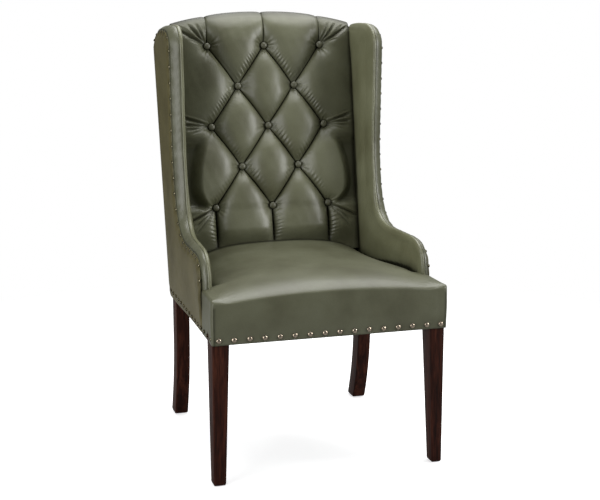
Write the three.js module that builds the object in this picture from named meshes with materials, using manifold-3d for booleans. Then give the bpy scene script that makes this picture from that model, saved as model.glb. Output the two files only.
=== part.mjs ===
// An upholstered wing-back dining chair on four plain wooden legs: a deep crowned seat, a raked back
// with diamond tufting and buttons, and a low arm on each side that sweeps up into a wing.
// Millimetres, +Z up, the chair faces -Y. Pieces are laid out with y = 0 at the front of the seat.
// The pieces that come in pairs are drawn for the side at +X and mirrored for the other.
import * as THREE from 'three';
import Module from 'manifold-3d';
import { mergeVertices } from 'three/addons/utils/BufferGeometryUtils.js';

const wasm = await Module();
wasm.setup();

// Overall sizes
const frontWidth = 624;          // across the seat cover at the front
const rearWidth = 602;           // across the outside covers at the foot of the back
const skirtZ = 371;              // lower edge of the upholstery
const seatEdgeZ = 485;           // top of the seat at its front edge
const seatCrown = 32;            // how far the seat swells above that edge
const backY = 518;               // face of the back at the height of the skirt, at the button seats
const seatTuck = 15;             // the seat runs on behind that face
const backSlope = 0.2;           // rake of the back: mm back for each mm up
const shellDepth = 84;           // from the button seats to the outside back, square to the back
const wingTopZ = 1119;           // top of the outside covers
const crestOverWing = 52.2;      // the crest stands this much higher

// Stock and clearances
const fitGap = 0.3;              // between two pieces that seat on each other
const looseGap = 0.8;            // between padded pieces that press together
const overrun = 40;              // how far a cutting solid passes what it cuts
const leather = 2;
const coverBoard = 3;            // outside covers: leather over a stiff card

// Legs
const legFrontY = 4;
const legInset = 4.5;            // from the side of the seat cover
const legWidth = 40;
const legDepth = 58;
const legFootWidth = 28;
const legFootDepth = 36;
const legRound = 3;
const footBevel = 4;
const glideHeight = 2;
const glideRadius = 10;
const glideRim = 0.8;
const rearLegInset = 7;          // from the side of the outside cover
const rearLegWidth = 31;
const rearLegDepth = 50;
const rearLegMargin = 12.66;     // from the rear of the shell at the skirt
const rearLegKick = 49;          // how far the foot sweeps back
const rearLegKickZ = 245;        // height where the sweep starts
const rearLegEdge = 2.5;
const postFaceDepth = 30;            // front of the back post, behind the button seats
const postDrop = 88;             // top of the post below the crest, along the back

// Seat frame
const railHeight = 67;
const railThickness = 24;
const railLift = 1.6;            // underside of the rails above the skirt's edge
const frontRailY = 6;
const backRailMargin = 13.66;    // from the rear of the shell at the skirt
const sideRailInset = 8;
const blockHeight = 40;
const blockReach = 62;
const blockDrop = 10;
const dustThickness = 1;
const dustMargin = 6;
const strapWidth = 55;
const strapThickness = 2;
const strapMargin = 112;         // from the side of the seat to the middle of the last strap
const crossStrapMargin = 67;     // and from its rear to the last cross strap
const strapsAcross = 2;          // straps on each side of the middle one
const crossStraps = 4;
const crossStrapFirstY = 112;
const strapSeat = 20;            // how far a strap lies on its rail

// Seat cushion
const seatRound = 24;            // front edge
const seatSideRound = 9;         // side edges, and the front edge at the corners
const seatBulge = 4;             // swell of the front and side walls
const seatCornerCut = 4;         // rows and columns this near an edge belong to its wall
const cornerPull = 1.6;          // the front corners are drawn in sideways
const cornerPush = 1;            // and backwards
const crownMargin = 50;
const crownRiseY = 250;          // the crown is full this far behind the front edge
const crownLoss = 0.8;           // share of the crown lost beside the arms
const edgeDrop = 14;             // the front edge falls this much towards the corners
const flapGap = 1.5;             // between the side flap of the seat and the arm
const tuckDrop = 39;             // the seat cover tucks in beside the arms this far
const foamGap = 0.9;

// Arm and wing, seen from the side
const armFrontY = 128;
const armRise = 76;              // above the front edge of the seat
const noseDrop = 1;
const noseLength = 85;
const sweepLength = 181;
const wingReach = 17;            // the front of the wing lies this far before the back
const wingLength = 319;          // upright part of the wing and its rounded corner
const wingCornerHeight = 119;
const wingCornerLength = 114;
const wingPadLength = 164;       // the padding stops here, against the back post
const wingHeelDrop = 71;
const armThickness = 44;         // at the wing
const noseThickness = 32;        // and at the nose
const wingLean = 0.012;          // the wings flare out: mm for each mm up
const wingFrameThickness = 18;
const wingFrameInset = 6;
const armRidge = 16;             // how far the inner ridge stands proud of the nailed edge, on the arm
const wingRidge = 24;            // and on the wing
const crestRidge = 8;            // and over the top
const ridgeWidth = 33;           // from the outside face to the ridge, on the wing
const noseRidgeWidth = 21;       // and on the nose
const boxingBulge = 3;
const ridgeRoll = 2.2;
const noseLedge = 12;            // the nose's underside slopes down towards the outside
const sweepPull = 0.72;          // the sweep from arm to wing: how long it stays level, as a share
const sweepTuck = 0.07;          // how far it leans in at its end
const sweepLift = 0.33;          // and how soon it turns upright

// Tufted back
const tuftMargin = 89;           // from the last buttons to the side of the pad
const topRowDrop = 102.8;        // and from the top row to the crest
const tuftRows = 5;
const firstRow = 250;            // lowest buttons, along the back from the skirt
const padBottom = 111;
const padBack = 8;               // thickness of the pad behind the button seats
const tuftSwell = 40;
const tuftSideShare = 0.3;       // share of the swell left at the sides
const tuftFootShare = 0.08;      // and at the foot, behind the seat
const creaseReach = 22;
const pleatRise = 30;            // the top side pleats climb this much
const pleatFall = 45;            // and the lowest ones fall this much
const crestDrop = 42;            // the crest's ends are this much lower than its middle
const crestMargin = 11;
const crestPower = 2.4;
const crestRound = 38;
const crestMiddleDepth = 22;
const crestPleat = 3;
const capThickness = 10;         // cover and wadding over the crest rail
const capHeelDrop = 16;
const backFoamThickness = 23;
const foamLift = 10;             // the foam starts this far above the foot of the cover
const crestRailDrop = 118;
const lowerRailStart = 150;
const lowerRailHeight = 50;
const lowerRailDepth = 26;
const backStrapPitch = 140;
const buttonRadius = 11;
const buttonSeat = 5.6;          // height of the button's rim above its seat
const buttonDome = 6.8;
const buttonRim = 2;
const shankRadius = 2.5;
const buttonWell = 17;           // reach of the dimple round each button

// Facets, and the shares that place them
const tuftSteps = 5;             // grid steps between a button and the next column or row
const archSteps = 24;
const glideFacets = 20;
const buttonFacets = 12;
const edgeSteps = { foot: 1, nose: 7, arm: 2, sweep: 10, wing: 3, corner: 8, heel: 8 };
const kickShares = [0, 0.2, 0.4, 0.6, 0.8, 1];
const creaseShallowShare = 0.2;  // how much a crease rises midway between its buttons
const columnShares = [0, 0.25, 0.5, 0.75, 1];
const frontRowShares = [0.25, 0.6, 1];
const rowShares = [0.14, 0.3, 0.48, 0.66, 0.82, 0.94, 1];
const wallShares = [0.3, 0.7];
const roundShares = [0, 0.1, 0.32, 0.62, 1];
const roundEdgeShare = 0.3;
const padFaceShares = [0.45, 0.85];
const tuftTopShares = [0.5, 1];
const tuftFadeShares = [0.1, 0.77];
const rollShares = [0.25, 0.5, 0.75, 1];
const capShare = 0.75;
const shoulderShares = [0.35, 0.7];
const domeShares = [0.35, 0.7];
const crownPower = 2.48;

// Worked out from the sizes above
const halfFront = frontWidth / 2;
const backAngle = Math.atan(backSlope);
const rearY = backY + shellDepth / Math.cos(backAngle);
const toeIn = (frontWidth - rearWidth) / 2 / rearY;
const seatRearY = backY + seatTuck;
const crownHalf = halfFront - crownMargin;
const tuckZ = seatEdgeZ - tuckDrop;
const armTopZ = seatEdgeZ + armRise;
const noseZ = seatEdgeZ - noseDrop;
const wingFrontY = backY - wingReach;
const armRearY = wingFrontY - sweepLength;
const wingTopY = wingFrontY + wingCornerLength;
const wingPadEndY = wingFrontY + wingPadLength;
const wingStartZ = wingTopZ - wingLength;
const wingCornerZ = wingTopZ - wingCornerHeight;
const wingHeelZ = wingTopZ - wingHeelDrop;
const legOuterX = halfFront - legInset;
const rearLegInnerX = rearWidth / 2 - rearLegInset - rearLegWidth;
const rearLegFrontY = rearY - rearLegMargin - rearLegDepth;
const backRailY = rearY - backRailMargin - railThickness;
const crestLength = (wingTopZ + crestOverWing - skirtZ) / Math.cos(backAngle);
const postLength = crestLength - postDrop;
const padHalf = rearWidth / 2 - armThickness;
const crestHalf = padHalf + crestMargin;
const tuftHalfPitch = (padHalf - tuftMargin) / 2;
const tuftRise = (crestLength - topRowDrop - firstRow) / (tuftRows - 1);
const strapPitch = (halfFront - strapMargin) / strapsAcross;
const crossStrapPitch = (seatRearY - crossStrapMargin - crossStrapFirstY) / (crossStraps - 1);
const railBottom = skirtZ + railLift;
const railTop = railBottom + railHeight;
const crossStrapZ = railTop + fitGap;
const strapZ = crossStrapZ + strapThickness + fitGap;
const padBottomZ = strapZ + strapThickness + fitGap;
const outsideN = shellDepth - coverBoard;
const postRearN = outsideN - fitGap;

// Colours of the finished pieces
const oliveLeather = new THREE.MeshStandardMaterial({ color: 0x6a6b56, roughness: 0.42, metalness: 0 });
const walnut = new THREE.MeshStandardMaterial({ color: 0x2e1a13, roughness: 0.4, metalness: 0 });
const beech = new THREE.MeshStandardMaterial({ color: 0xc39a6b, roughness: 0.7, metalness: 0 });
const plywood = new THREE.MeshStandardMaterial({ color: 0xcdb083, roughness: 0.75, metalness: 0 });
const foam = new THREE.MeshStandardMaterial({ color: 0xe6dcc0, roughness: 0.95, metalness: 0 });
const webbing = new THREE.MeshStandardMaterial({ color: 0x8c7350, roughness: 0.9, metalness: 0 });
const cambric = new THREE.MeshStandardMaterial({ color: 0x1c1c1c, roughness: 0.95, metalness: 0 });
const nylon = new THREE.MeshStandardMaterial({ color: 0x3a3330, roughness: 0.5, metalness: 0 });

const chair = new THREE.Group();

function piece(parent, name, geometry, material) {
  const mesh = new THREE.Mesh(geometry, material);
  mesh.name = name;
  parent.add(mesh);
  return mesh;
}

const v2 = (a, b) => new THREE.Vector2(a, b);
const clamp01 = (t) => Math.min(1, Math.max(0, t));
const smooth = (t) => clamp01(t) ** 2 * (3 - 2 * clamp01(t));
const mix = (a, b, t) => a + (b - a) * t;

// Half the width between the outside covers, and between the arms, at a distance from the front
const outerHalf = (y) => halfFront - toeIn * y;
const alongArm = (y) => clamp01((y - armFrontY) / (wingFrontY - armFrontY));
const thicknessAt = (y) => mix(noseThickness, armThickness, alongArm(y));
const ridgeWidthAt = (y) => mix(noseRidgeWidth, ridgeWidth, alongArm(y));
const innerHalf = (y) => outerHalf(y) - thicknessAt(y) - looseGap;

// A point of the back plane's own axes (n behind the button seats, s along the back) as y and z
const backPoint = (n, s) => v2(
  backY + n * Math.cos(backAngle) + s * Math.sin(backAngle),
  skirtZ - n * Math.sin(backAngle) + s * Math.cos(backAngle),
);

// How far back the line at depth n lies at a height
const backLineY = (n, z) => backY + n / Math.cos(backAngle) + (z - skirtZ) * backSlope;

// A closed mesh from points and triangles, turned inside out if its volume comes out negative
function meshOf(points, triangles) {
  let volume = 0;
  for (const [a, b, c] of triangles) {
    volume += points[a].dot(new THREE.Vector3().crossVectors(points[b], points[c]));
  }
  const index = triangles.flatMap(([a, b, c]) => (volume > 0 ? [a, b, c] : [a, c, b]));
  const geometry = new THREE.BufferGeometry().setFromPoints(points);
  geometry.setIndex(index);
  return geometry;
}

function mirrored(geometry) {
  const copy = geometry.index ? geometry.toNonIndexed() : geometry.clone();
  copy.deleteAttribute('normal');
  copy.deleteAttribute('uv');
  const merged = mergeVertices(copy);
  const position = merged.attributes.position;
  for (let i = 0; i < position.count; i += 1) position.setX(i, -position.getX(i));
  const index = Array.from(merged.index.array);
  for (let i = 0; i < index.length; i += 3) [index[i + 1], index[i + 2]] = [index[i + 2], index[i + 1]];
  merged.setIndex(index);
  return merged;
}

// Triangles over a flat loop of points, found in the loop's own plane
function capTriangles(points, loop) {
  const normal = new THREE.Vector3();
  loop.forEach((id, i) => {
    const next = points[loop[(i + 1) % loop.length]];
    normal.add(new THREE.Vector3().crossVectors(points[id], next));
  });
  normal.normalize();
  const across = Math.abs(normal.x) < Math.SQRT1_2 ? new THREE.Vector3(1, 0, 0) : new THREE.Vector3(0, 1, 0);
  const u = new THREE.Vector3().crossVectors(normal, across).normalize();
  const v = new THREE.Vector3().crossVectors(normal, u);
  const flat = loop.map((id) => v2(points[id].dot(u), points[id].dot(v)));
  return THREE.ShapeUtils.triangulateShape(flat, []).map((face) => face.map((k) => loop[k]));
}

// A solid lofted through closed rings of equal length, capped at both ends
function loft(rings) {
  const size = rings[0].length;
  const points = rings.flat();
  const triangles = [];
  for (let r = 0; r + 1 < rings.length; r += 1) {
    for (let i = 0; i < size; i += 1) {
      const a = r * size + i;
      const b = r * size + ((i + 1) % size);
      triangles.push([a, b, b + size], [a, b + size, a + size]);
    }
  }
  const first = rings[0].map((_, i) => i);
  const last = first.map((i) => i + (rings.length - 1) * size);
  const facing = capTriangles(points, first);
  triangles.push(...facing.map((face) => sameTurn(face, first) ? [...face].reverse() : face));
  const closing = capTriangles(points, last);
  triangles.push(...closing.map((face) => sameTurn(face, last) ? face : [...face].reverse()));
  return meshOf(points, triangles);
}

// Whether a triangle runs round its loop in the loop's own order
function sameTurn(face, loop) {
  const [a, b, c] = face.map((id) => loop.indexOf(id));
  return (a < b && b < c) || (b < c && c < a) || (c < a && a < b);
}

const extruded = (outline, depth) => new THREE.ExtrudeGeometry(
  new THREE.Shape(outline), { depth, bevelEnabled: false });

// A flat outline in y and z, made solid between two values of x
function sideways(outline, x0, x1) {
  const geometry = extruded(outline, x1 - x0);
  geometry.translate(0, 0, x0);
  return geometry.applyMatrix4(new THREE.Matrix4().makeBasis(
    new THREE.Vector3(0, 1, 0), new THREE.Vector3(0, 0, 1), new THREE.Vector3(1, 0, 0)));
}

// A flat outline in x and z, made solid between two values of y
function backwards(outline, y0, y1) {
  const geometry = extruded(outline, y1 - y0);
  geometry.rotateX(Math.PI / 2);
  return geometry.translate(0, y1, 0);
}

// A flat outline in x and y, made solid between two heights
function upwards(outline, z0, z1) {
  const geometry = extruded(outline, z1 - z0);
  return geometry.translate(0, 0, z0);
}

function box(x0, x1, y0, y1, z0, z1) {
  const geometry = new THREE.BoxGeometry(x1 - x0, y1 - y0, z1 - z0);
  return geometry.translate((x0 + x1) / 2, (y0 + y1) / 2, (z0 + z1) / 2);
}

function toSolid(geometry) {
  const bare = geometry.clone();
  bare.deleteAttribute('normal');
  bare.deleteAttribute('uv');
  const merged = mergeVertices(bare);
  return new wasm.Manifold(new wasm.Mesh({
    numProp: 3,
    vertProperties: new Float32Array(merged.attributes.position.array),
    triVerts: new Uint32Array(merged.index.array),
  }));
}

function toGeometry(solid) {
  const mesh = solid.getMesh();
  const geometry = new THREE.BufferGeometry();
  geometry.setAttribute('position', new THREE.BufferAttribute(new Float32Array(mesh.vertProperties), 3));
  geometry.setIndex(new THREE.BufferAttribute(new Uint32Array(mesh.triVerts), 1));
  return geometry;
}

// Front leg: square outside, tapered on its two inner faces, running up to the top of the rails
function frontLeg() {
  const ring = (z, width, depth, round) => {
    const corners = [
      [legOuterX, legFrontY, -1, 1], [legOuterX, legFrontY + depth, -1, -1],
      [legOuterX - width, legFrontY + depth, 1, -1], [legOuterX - width, legFrontY, 1, 1],
    ];
    return corners.flatMap(([x, y, inX, inY], corner) => {
      const near = new THREE.Vector3(x + inX * round, y, z);
      const far = new THREE.Vector3(x, y + inY * round, z);
      return corner % 2 === 0 ? [near, far] : [far, near];
    });
  };
  const bottom = glideHeight + fitGap;
  return loft([
    ring(bottom, legFootWidth - legRound, legFootDepth - legRound, legRound),
    ring(bottom + footBevel, legFootWidth, legFootDepth, legRound),
    ring(skirtZ, legWidth, legDepth, legRound),
    ring(railTop, legWidth, legDepth, legRound),
  ]);
}

// Side view of the rear leg: a foot swept back, an upright stretch and the raked post of the back
function rearLegOutline() {
  const foot = glideHeight + fitGap;
  const front = [];
  const rear = [];
  for (const share of kickShares) {
    const z = mix(foot, rearLegKickZ, share);
    const y = rearLegFrontY + rearLegKick * ((rearLegKickZ - z) / rearLegKickZ) ** 2;
    front.push(v2(y, z));
    rear.push(v2(y + rearLegDepth, z));
  }
  front.push(v2(rearLegFrontY, skirtZ));
  rear.push(v2(rearLegFrontY + rearLegDepth, skirtZ));
  front.push(v2(backLineY(postFaceDepth, railTop), railTop));
  rear.push(v2(backLineY(postRearN, railTop), railTop));
  front.push(backPoint(postFaceDepth, postLength));
  rear.push(backPoint(postRearN, postLength));
  return [...front, ...rear.reverse()];
}

function rearLeg() {
  const geometry = new THREE.ExtrudeGeometry(new THREE.Shape(rearLegOutline()), {
    depth: rearLegWidth - 2 * rearLegEdge,
    bevelThickness: rearLegEdge,
    bevelSize: rearLegEdge,
    bevelOffset: -rearLegEdge,
    bevelSegments: 1,
  });
  geometry.translate(0, 0, rearLegInnerX + rearLegEdge);
  return geometry.applyMatrix4(new THREE.Matrix4().makeBasis(
    new THREE.Vector3(0, 1, 0), new THREE.Vector3(0, 0, 1), new THREE.Vector3(1, 0, 0)));
}

// Foot glide: a small turned disc with its lower rim eased
function glide(x, y) {
  const profile = [v2(0, 0), v2(glideRadius - glideRim, 0), v2(glideRadius, glideRim),
    v2(glideRadius, glideHeight), v2(0, glideHeight)];
  return new THREE.LatheGeometry(profile, glideFacets).rotateX(Math.PI / 2).translate(x, y, 0);
}

function pair(parent, name, geometry, material) {
  piece(parent, `${name}_right`, geometry, material);
  piece(parent, `${name}_left`, mirrored(geometry), material);
}

function addLegs() {
  pair(chair, 'front_leg', frontLeg(), walnut);
  pair(chair, 'rear_leg', rearLeg(), walnut);
  const frontFoot = [legOuterX - legFootWidth / 2, legFrontY + legFootDepth / 2];
  const rearFoot = [rearLegInnerX + rearLegWidth / 2, rearLegFrontY + rearLegKick + rearLegDepth / 2];
  pair(chair, 'front_glide', glide(...frontFoot), nylon);
  pair(chair, 'rear_glide', glide(...rearFoot), nylon);
}

// The two side groups turn in towards the rear, so what is built in them stays square
function sideGroups() {
  return [1, -1].map((side) => {
    const group = new THREE.Group();
    group.position.x = side * halfFront;
    group.rotation.z = side * Math.atan(toeIn);
    chair.add(group);
    const lean = new THREE.Group();
    lean.rotation.y = side * Math.atan(wingLean);
    lean.position.x = -side * wingLean * skirtZ;
    group.add(lean);
    return { group, lean, side };
  });
}

const sides = sideGroups();

// A piece of each side group, drawn for the +X side with x = 0 at the outside face
function sidePair(name, geometry, material, leaning) {
  for (const { group, lean, side } of sides) {
    const parent = leaning ? lean : group;
    const word = side > 0 ? 'right' : 'left';
    piece(parent, `${name}_${word}`, side > 0 ? geometry : mirrored(geometry), material);
  }
}

function addSeatFrame() {
  const legInner = legOuterX - legWidth - fitGap;
  const postInner = rearLegInnerX - fitGap;
  piece(chair, 'front_seat_rail',
    box(-legInner, legInner, frontRailY, frontRailY + railThickness, railBottom, railTop), beech);
  piece(chair, 'back_seat_rail',
    box(-postInner, postInner, backRailY, backRailY + railThickness, railBottom, railTop), beech);
  const start = legFrontY + legDepth + fitGap + (sideRailInset + railThickness) * toeIn;
  const sideRail = [v2(start, railBottom), v2(rearLegFrontY - 2 * fitGap, railBottom),
    v2(backLineY(postFaceDepth, railTop) - 2 * fitGap, railTop), v2(start, railTop)];
  const railSolid = sideways(sideRail, -sideRailInset - railThickness, -sideRailInset);
  sidePair('side_seat_rail', railSolid, beech, false);
  addCornerBlocks(legInner, postInner);
}

// Glued corner blocks: each fills an inside corner of the seat frame and is notched round its leg
function addCornerBlocks(legInner, postInner) {
  const railFace = (y) => outerHalf(y) - sideRailInset - railThickness - looseGap;
  const bottom = railTop - blockDrop - blockHeight;
  const frontY = frontRailY + railThickness + fitGap;
  const legRear = legFrontY + legDepth + fitGap;
  const frontEnd = legRear + blockReach;
  const front = [v2(legInner - blockReach, frontY), v2(legInner - fitGap, frontY),
    v2(legInner - fitGap, legRear), v2(railFace(legRear), legRear), v2(railFace(frontEnd), frontEnd)];
  pair(chair, 'front_corner_block', upwards(front, bottom, bottom + blockHeight), beech);
  const rearFace = backRailY - fitGap;
  const postFront = rearLegFrontY - fitGap;
  const rearEnd = postFront - blockReach;
  const rear = [v2(postInner - blockReach, rearFace), v2(railFace(rearEnd), rearEnd),
    v2(railFace(postFront), postFront), v2(postInner - fitGap, postFront), v2(postInner - fitGap, rearFace)];
  pair(chair, 'rear_corner_block', upwards(rear, bottom, bottom + blockHeight), beech);
}

function addWebbing() {
  const rearEnd = backRailY + strapSeat;
  const half = strapWidth / 2;
  for (let i = -strapsAcross; i <= strapsAcross; i += 1) {
    const x = i * strapPitch;
    piece(chair, `seat_strap_${i + strapsAcross + 1}`,
      box(x - half, x + half, frontRailY, rearEnd, strapZ, strapZ + strapThickness), webbing);
  }
  for (let i = 0; i < crossStraps; i += 1) {
    const y = crossStrapFirstY + i * crossStrapPitch;
    const reach = outerHalf(y) - sideRailInset - strapSeat;
    piece(chair, `cross_strap_${i + 1}`,
      box(-reach, reach, y - half, y + half, crossStrapZ, crossStrapZ + strapThickness), webbing);
  }
}

// Dust cover under the rails, cut away at the four legs
function addDustCover() {
  const side = (y) => outerHalf(y) - sideRailInset - dustMargin;
  const legX = legOuterX - legWidth - looseGap;
  const legY = legFrontY + legDepth + looseGap;
  const rearX = rearLegInnerX - looseGap;
  const rearStart = rearLegFrontY - looseGap;
  const rearEnd = backRailY + railThickness;
  const right = [v2(legX, frontRailY), v2(legX, legY), v2(side(legY), legY), v2(side(rearStart), rearStart),
    v2(rearX, rearStart), v2(rearX, rearEnd)];
  const left = right.map((p) => v2(-p.x, p.y)).reverse();
  const bottom = railBottom - fitGap - dustThickness;
  piece(chair, 'dust_cover', upwards([...right, ...left], bottom, bottom + dustThickness), cambric);
}

// Height of the seat's top away from its rounded edges
function seatTop(x, y) {
  const across = (Math.abs(x) / crownHalf) ** crownPower;
  const rise = 1 - clamp01(1 - y / crownRiseY) ** 2;
  const edge = edgeDrop * (Math.abs(x) / halfFront) ** crownPower;
  return seatEdgeZ - edge + seatCrown * rise * (1 - crownLoss * across);
}

// How far a round of a given radius falls at a distance in from the edge
function roundFall(distance, radius) {
  const d = Math.min(radius, Math.max(0, distance));
  return radius - Math.sqrt(radius * radius - (radius - d) ** 2);
}

// The seat's body, drawn in by an inset all round: full width in front of the arms, narrow between them
function seatBody(inset, bottomZ) {
  const flapY = armFrontY - flapGap;
  const rows = [];
  for (const share of roundShares) rows.push({ y: inset + share * seatRound, wide: true });
  for (const share of frontRowShares) {
    rows.push({ y: mix(inset + seatRound, flapY - inset, share), wide: true });
  }
  for (const share of rowShares) rows.push({ y: mix(flapY, seatRearY - inset, share), wide: false });
  const columnX = (y) => {
    const inner = innerHalf(y) - inset;
    const outer = outerHalf(y) - inset;
    const flat = inner - seatSideRound;
    const half = columnShares.slice(1).map((share) => share * flat);
    const edge = roundEdgeShare * seatSideRound;
    half.push(inner - edge, inner);
    half.push(Math.max(outer - seatSideRound, (inner + outer) / 2), outer - edge, outer);
    return half;
  };
  const halfCount = columnX(0).length;
  const narrowCount = halfCount - 3;
  const points = [];
  const grid = rows.map(({ y, wide }) => {
    const half = columnX(y);
    const edgeX = wide ? half[halfCount - 1] : half[narrowCount - 1];
    const ids = [];
    for (let i = -halfCount; i <= halfCount; i += 1) {
      const index = Math.abs(i);
      if (!wide && index > narrowCount) {
        ids.push(-1);
        continue;
      }
      let x = Math.sign(i) * (index === 0 ? 0 : half[index - 1]);
      let rowY = y;
      if (wide && index === halfCount && y < inset + seatCornerCut / 2) {
        x -= Math.sign(i) * cornerPull;
        rowY += cornerPush;
      }
      const cornerStart = columnShares[3] * halfFront;
      const corner = smooth((Math.abs(x) - cornerStart) / (halfFront - cornerStart));
      const front = roundFall(rowY - inset, mix(seatRound, seatSideRound, corner));
      const side = roundFall(edgeX - Math.abs(x), seatSideRound);
      const rear = roundFall(seatRearY - inset - rowY, seatSideRound);
      const top = seatTop(x, rowY) - inset - Math.max(front, side) - rear;
      ids.push(points.push(new THREE.Vector3(x, rowY, top)) - 1);
    }
    return ids;
  });
  return closeSheet(points, grid, bottomZ, inset);
}

// Closes a sheet of grid cells with bulged walls and a flat bottom
function closeSheet(points, grid, bottomZ, inset) {
  const triangles = [];
  const used = new Map();
  const note = (face) => {
    triangles.push(face);
    face.forEach((a, i) => {
      const b = face[(i + 1) % 3];
      const back = `${b},${a}`;
      if (used.has(back)) used.delete(back);
      else used.set(`${a},${b}`, [a, b]);
    });
  };
  for (let r = 0; r + 1 < grid.length; r += 1) {
    for (let c = 0; c + 1 < grid[r].length; c += 1) {
      const [a, b, d, e] = [grid[r][c], grid[r][c + 1], grid[r + 1][c], grid[r + 1][c + 1]];
      if (Math.min(a, b, d, e) < 0) continue;
      if (c < grid[r].length / 2 - 1) {
        note([a, b, d]);
        note([b, e, d]);
      } else {
        note([a, b, e]);
        note([a, e, d]);
      }
    }
  }
  const next = new Map([...used.values()].map(([a, b]) => [a, b]));
  const loop = [];
  let at = next.keys().next().value;
  for (let i = 0; i < next.size; i += 1) {
    loop.push(at);
    at = next.get(at);
  }
  const flapY = armFrontY - flapGap - inset;
  let upper = loop;
  const levels = [...wallShares, 1];
  if (bottomZ < skirtZ) levels.push(1 + (skirtZ - bottomZ) / seatRound);
  for (const share of levels) {
    const lower = loop.map((id) => {
      const top = points[id];
      const swell = share < 1 ? seatBulge * Math.sin(Math.PI * share) : 0;
      const z = share > 1 ? bottomZ : mix(top.z, skirtZ, share);
      const frontOut = top.y < inset + seatCornerCut * 2 ? -swell : 0;
      const onSide = Math.abs(top.x) > outerHalf(top.y) - inset - seatCornerCut * 2;
      const sideOut = onSide && top.y < flapY - fitGap ? Math.sign(top.x) * swell / 2 : 0;
      return points.push(new THREE.Vector3(top.x + sideOut, top.y + frontOut, z)) - 1;
    });
    loop.forEach((_, i) => {
      const j = (i + 1) % loop.length;
      triangles.push([upper[j], upper[i], lower[i]], [upper[j], lower[i], lower[j]]);
    });
    upper = lower;
  }
  const base = capTriangles(points, upper);
  triangles.push(...base.map((face) => sameTurn(face, upper) ? [...face].reverse() : face));
  return meshOf(points, triangles);
}

function addSeat() {
  const outside = toSolid(seatBody(0, skirtZ));
  const inside = toSolid(seatBody(leather, skirtZ - overrun));
  const tuckHalf = Math.max(innerHalf(armFrontY), innerHalf(seatRearY)) + looseGap;
  const tuck = toSolid(box(-tuckHalf, tuckHalf, armFrontY - overrun, seatRearY + overrun,
    skirtZ - overrun, tuckZ));
  const flapHalf = outerHalf(armFrontY) - leather - fitGap;
  const behindFlap = toSolid(box(-flapHalf, flapHalf, armFrontY - flapGap - 2 * leather, armFrontY + overrun,
    skirtZ - overrun, tuckZ));
  const shell = outside.subtract(inside).subtract(tuck).subtract(behindFlap);
  piece(chair, 'seat_cover', toGeometry(shell), oliveLeather);
  const filling = toSolid(seatBody(leather + foamGap, skirtZ));
  const room = toSolid(box(-halfFront, halfFront, -overrun, seatRearY, skirtZ - overrun, padBottomZ));
  piece(chair, 'seat_foam', toGeometry(filling.subtract(room)), foam);
}

// The nailed edge of the arm and wing, from the arm's foot over the nose and up to the rear corner
function nailedEdge() {
  const path = [];
  const add = (curve, steps) => {
    const points = curve.getPoints(steps);
    path.push(...(path.length ? points.slice(1) : points));
  };
  const heelY = backLineY(shellDepth, wingHeelZ);
  const quarter = Math.PI / 2;
  add(new THREE.LineCurve(v2(armFrontY, padBottomZ), v2(armFrontY, noseZ)), edgeSteps.foot);
  add(new THREE.EllipseCurve(armFrontY + noseLength, noseZ, noseLength, armTopZ - noseZ,
    Math.PI, quarter, true), edgeSteps.nose);
  add(new THREE.LineCurve(v2(armFrontY + noseLength, armTopZ), v2(armRearY, armTopZ)), edgeSteps.arm);
  const pull = wingFrontY - armRearY;
  const lift = wingStartZ - armTopZ;
  const wingFoot = v2(wingFrontY, wingStartZ);
  add(new THREE.CubicBezierCurve(v2(armRearY, armTopZ), v2(armRearY + pull * sweepPull, armTopZ),
    v2(wingFrontY - pull * sweepTuck, armTopZ + lift * sweepLift), wingFoot), edgeSteps.sweep);
  add(new THREE.LineCurve(wingFoot, v2(wingFrontY, wingCornerZ)), edgeSteps.wing);
  add(new THREE.EllipseCurve(wingTopY, wingCornerZ, wingTopY - wingFrontY, wingTopZ - wingCornerZ,
    Math.PI, quarter, true), edgeSteps.corner);
  add(new THREE.EllipseCurve(wingTopY, wingHeelZ, heelY - wingTopY, wingTopZ - wingHeelZ,
    quarter, 0, true), edgeSteps.heel);
  return path.map((p, i) => {
    const before = path[Math.max(0, i - 1)];
    const after = path[Math.min(path.length - 1, i + 1)];
    const along = after.clone().sub(before).normalize();
    const out = i === 0 || p.y <= noseZ ? v2(-1, 0) : v2(-along.y, along.x);
    return { p, out };
  });
}

// How far the ridge stands proud of the nailed edge at a point of it
function ridgeAt({ p }) {
  const rising = smooth((p.y - armTopZ) / (wingStartZ - armTopZ));
  const overCorner = smooth((p.x - wingFrontY) / (wingTopY - wingFrontY));
  return mix(mix(armRidge, wingRidge, rising), crestRidge, p.y > wingStartZ ? overCorner : 0);
}

// The boxing's height over the nailed edge, a distance in from the outside face
const boxingLift = (w, width, ridge) => ridge * (w / width) + boxingBulge * Math.sin(Math.PI * (w / width));

function ringPoint(edge, w, offset) {
  return new THREE.Vector3(-w, edge.p.x + edge.out.x * offset, edge.p.y + edge.out.y * offset);
}

// Leather strip that boxes the edge of the arm and wing, from the nailed edge to the ridge
function boxingStrip(edges) {
  const stand = crestRidge + boxingBulge;
  const isClear = ({ p, out }) => p.x + out.x * stand < backLineY(outsideN, p.y) - fitGap;
  const clear = edges.slice(1).filter(isClear);
  const rings = clear.map((edge, i) => {
    const ridge = ridgeAt(edge);
    const overTop = smooth((edge.p.x - wingPadEndY) / (shellDepth / 2));
    const width = mix(ridgeWidthAt(edge.p.x), armThickness, overTop);
    const steps = [coverBoard / 3, width / 3, width * 2 / 3, width];
    const outer = steps.map((w) => ringPoint(edge, w, fitGap + boxingLift(w, width, ridge)));
    const inner = [width, width * 2 / 3, width / 3, coverBoard + 2 * fitGap]
      .map((w) => ringPoint(edge, w, fitGap + Math.max(0, boxingLift(w, width, ridge) - leather)));
    return i === 0 ? slopeUnderside([...outer, ...inner]) : [...outer, ...inner];
  });
  return loft(rings);
}

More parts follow.
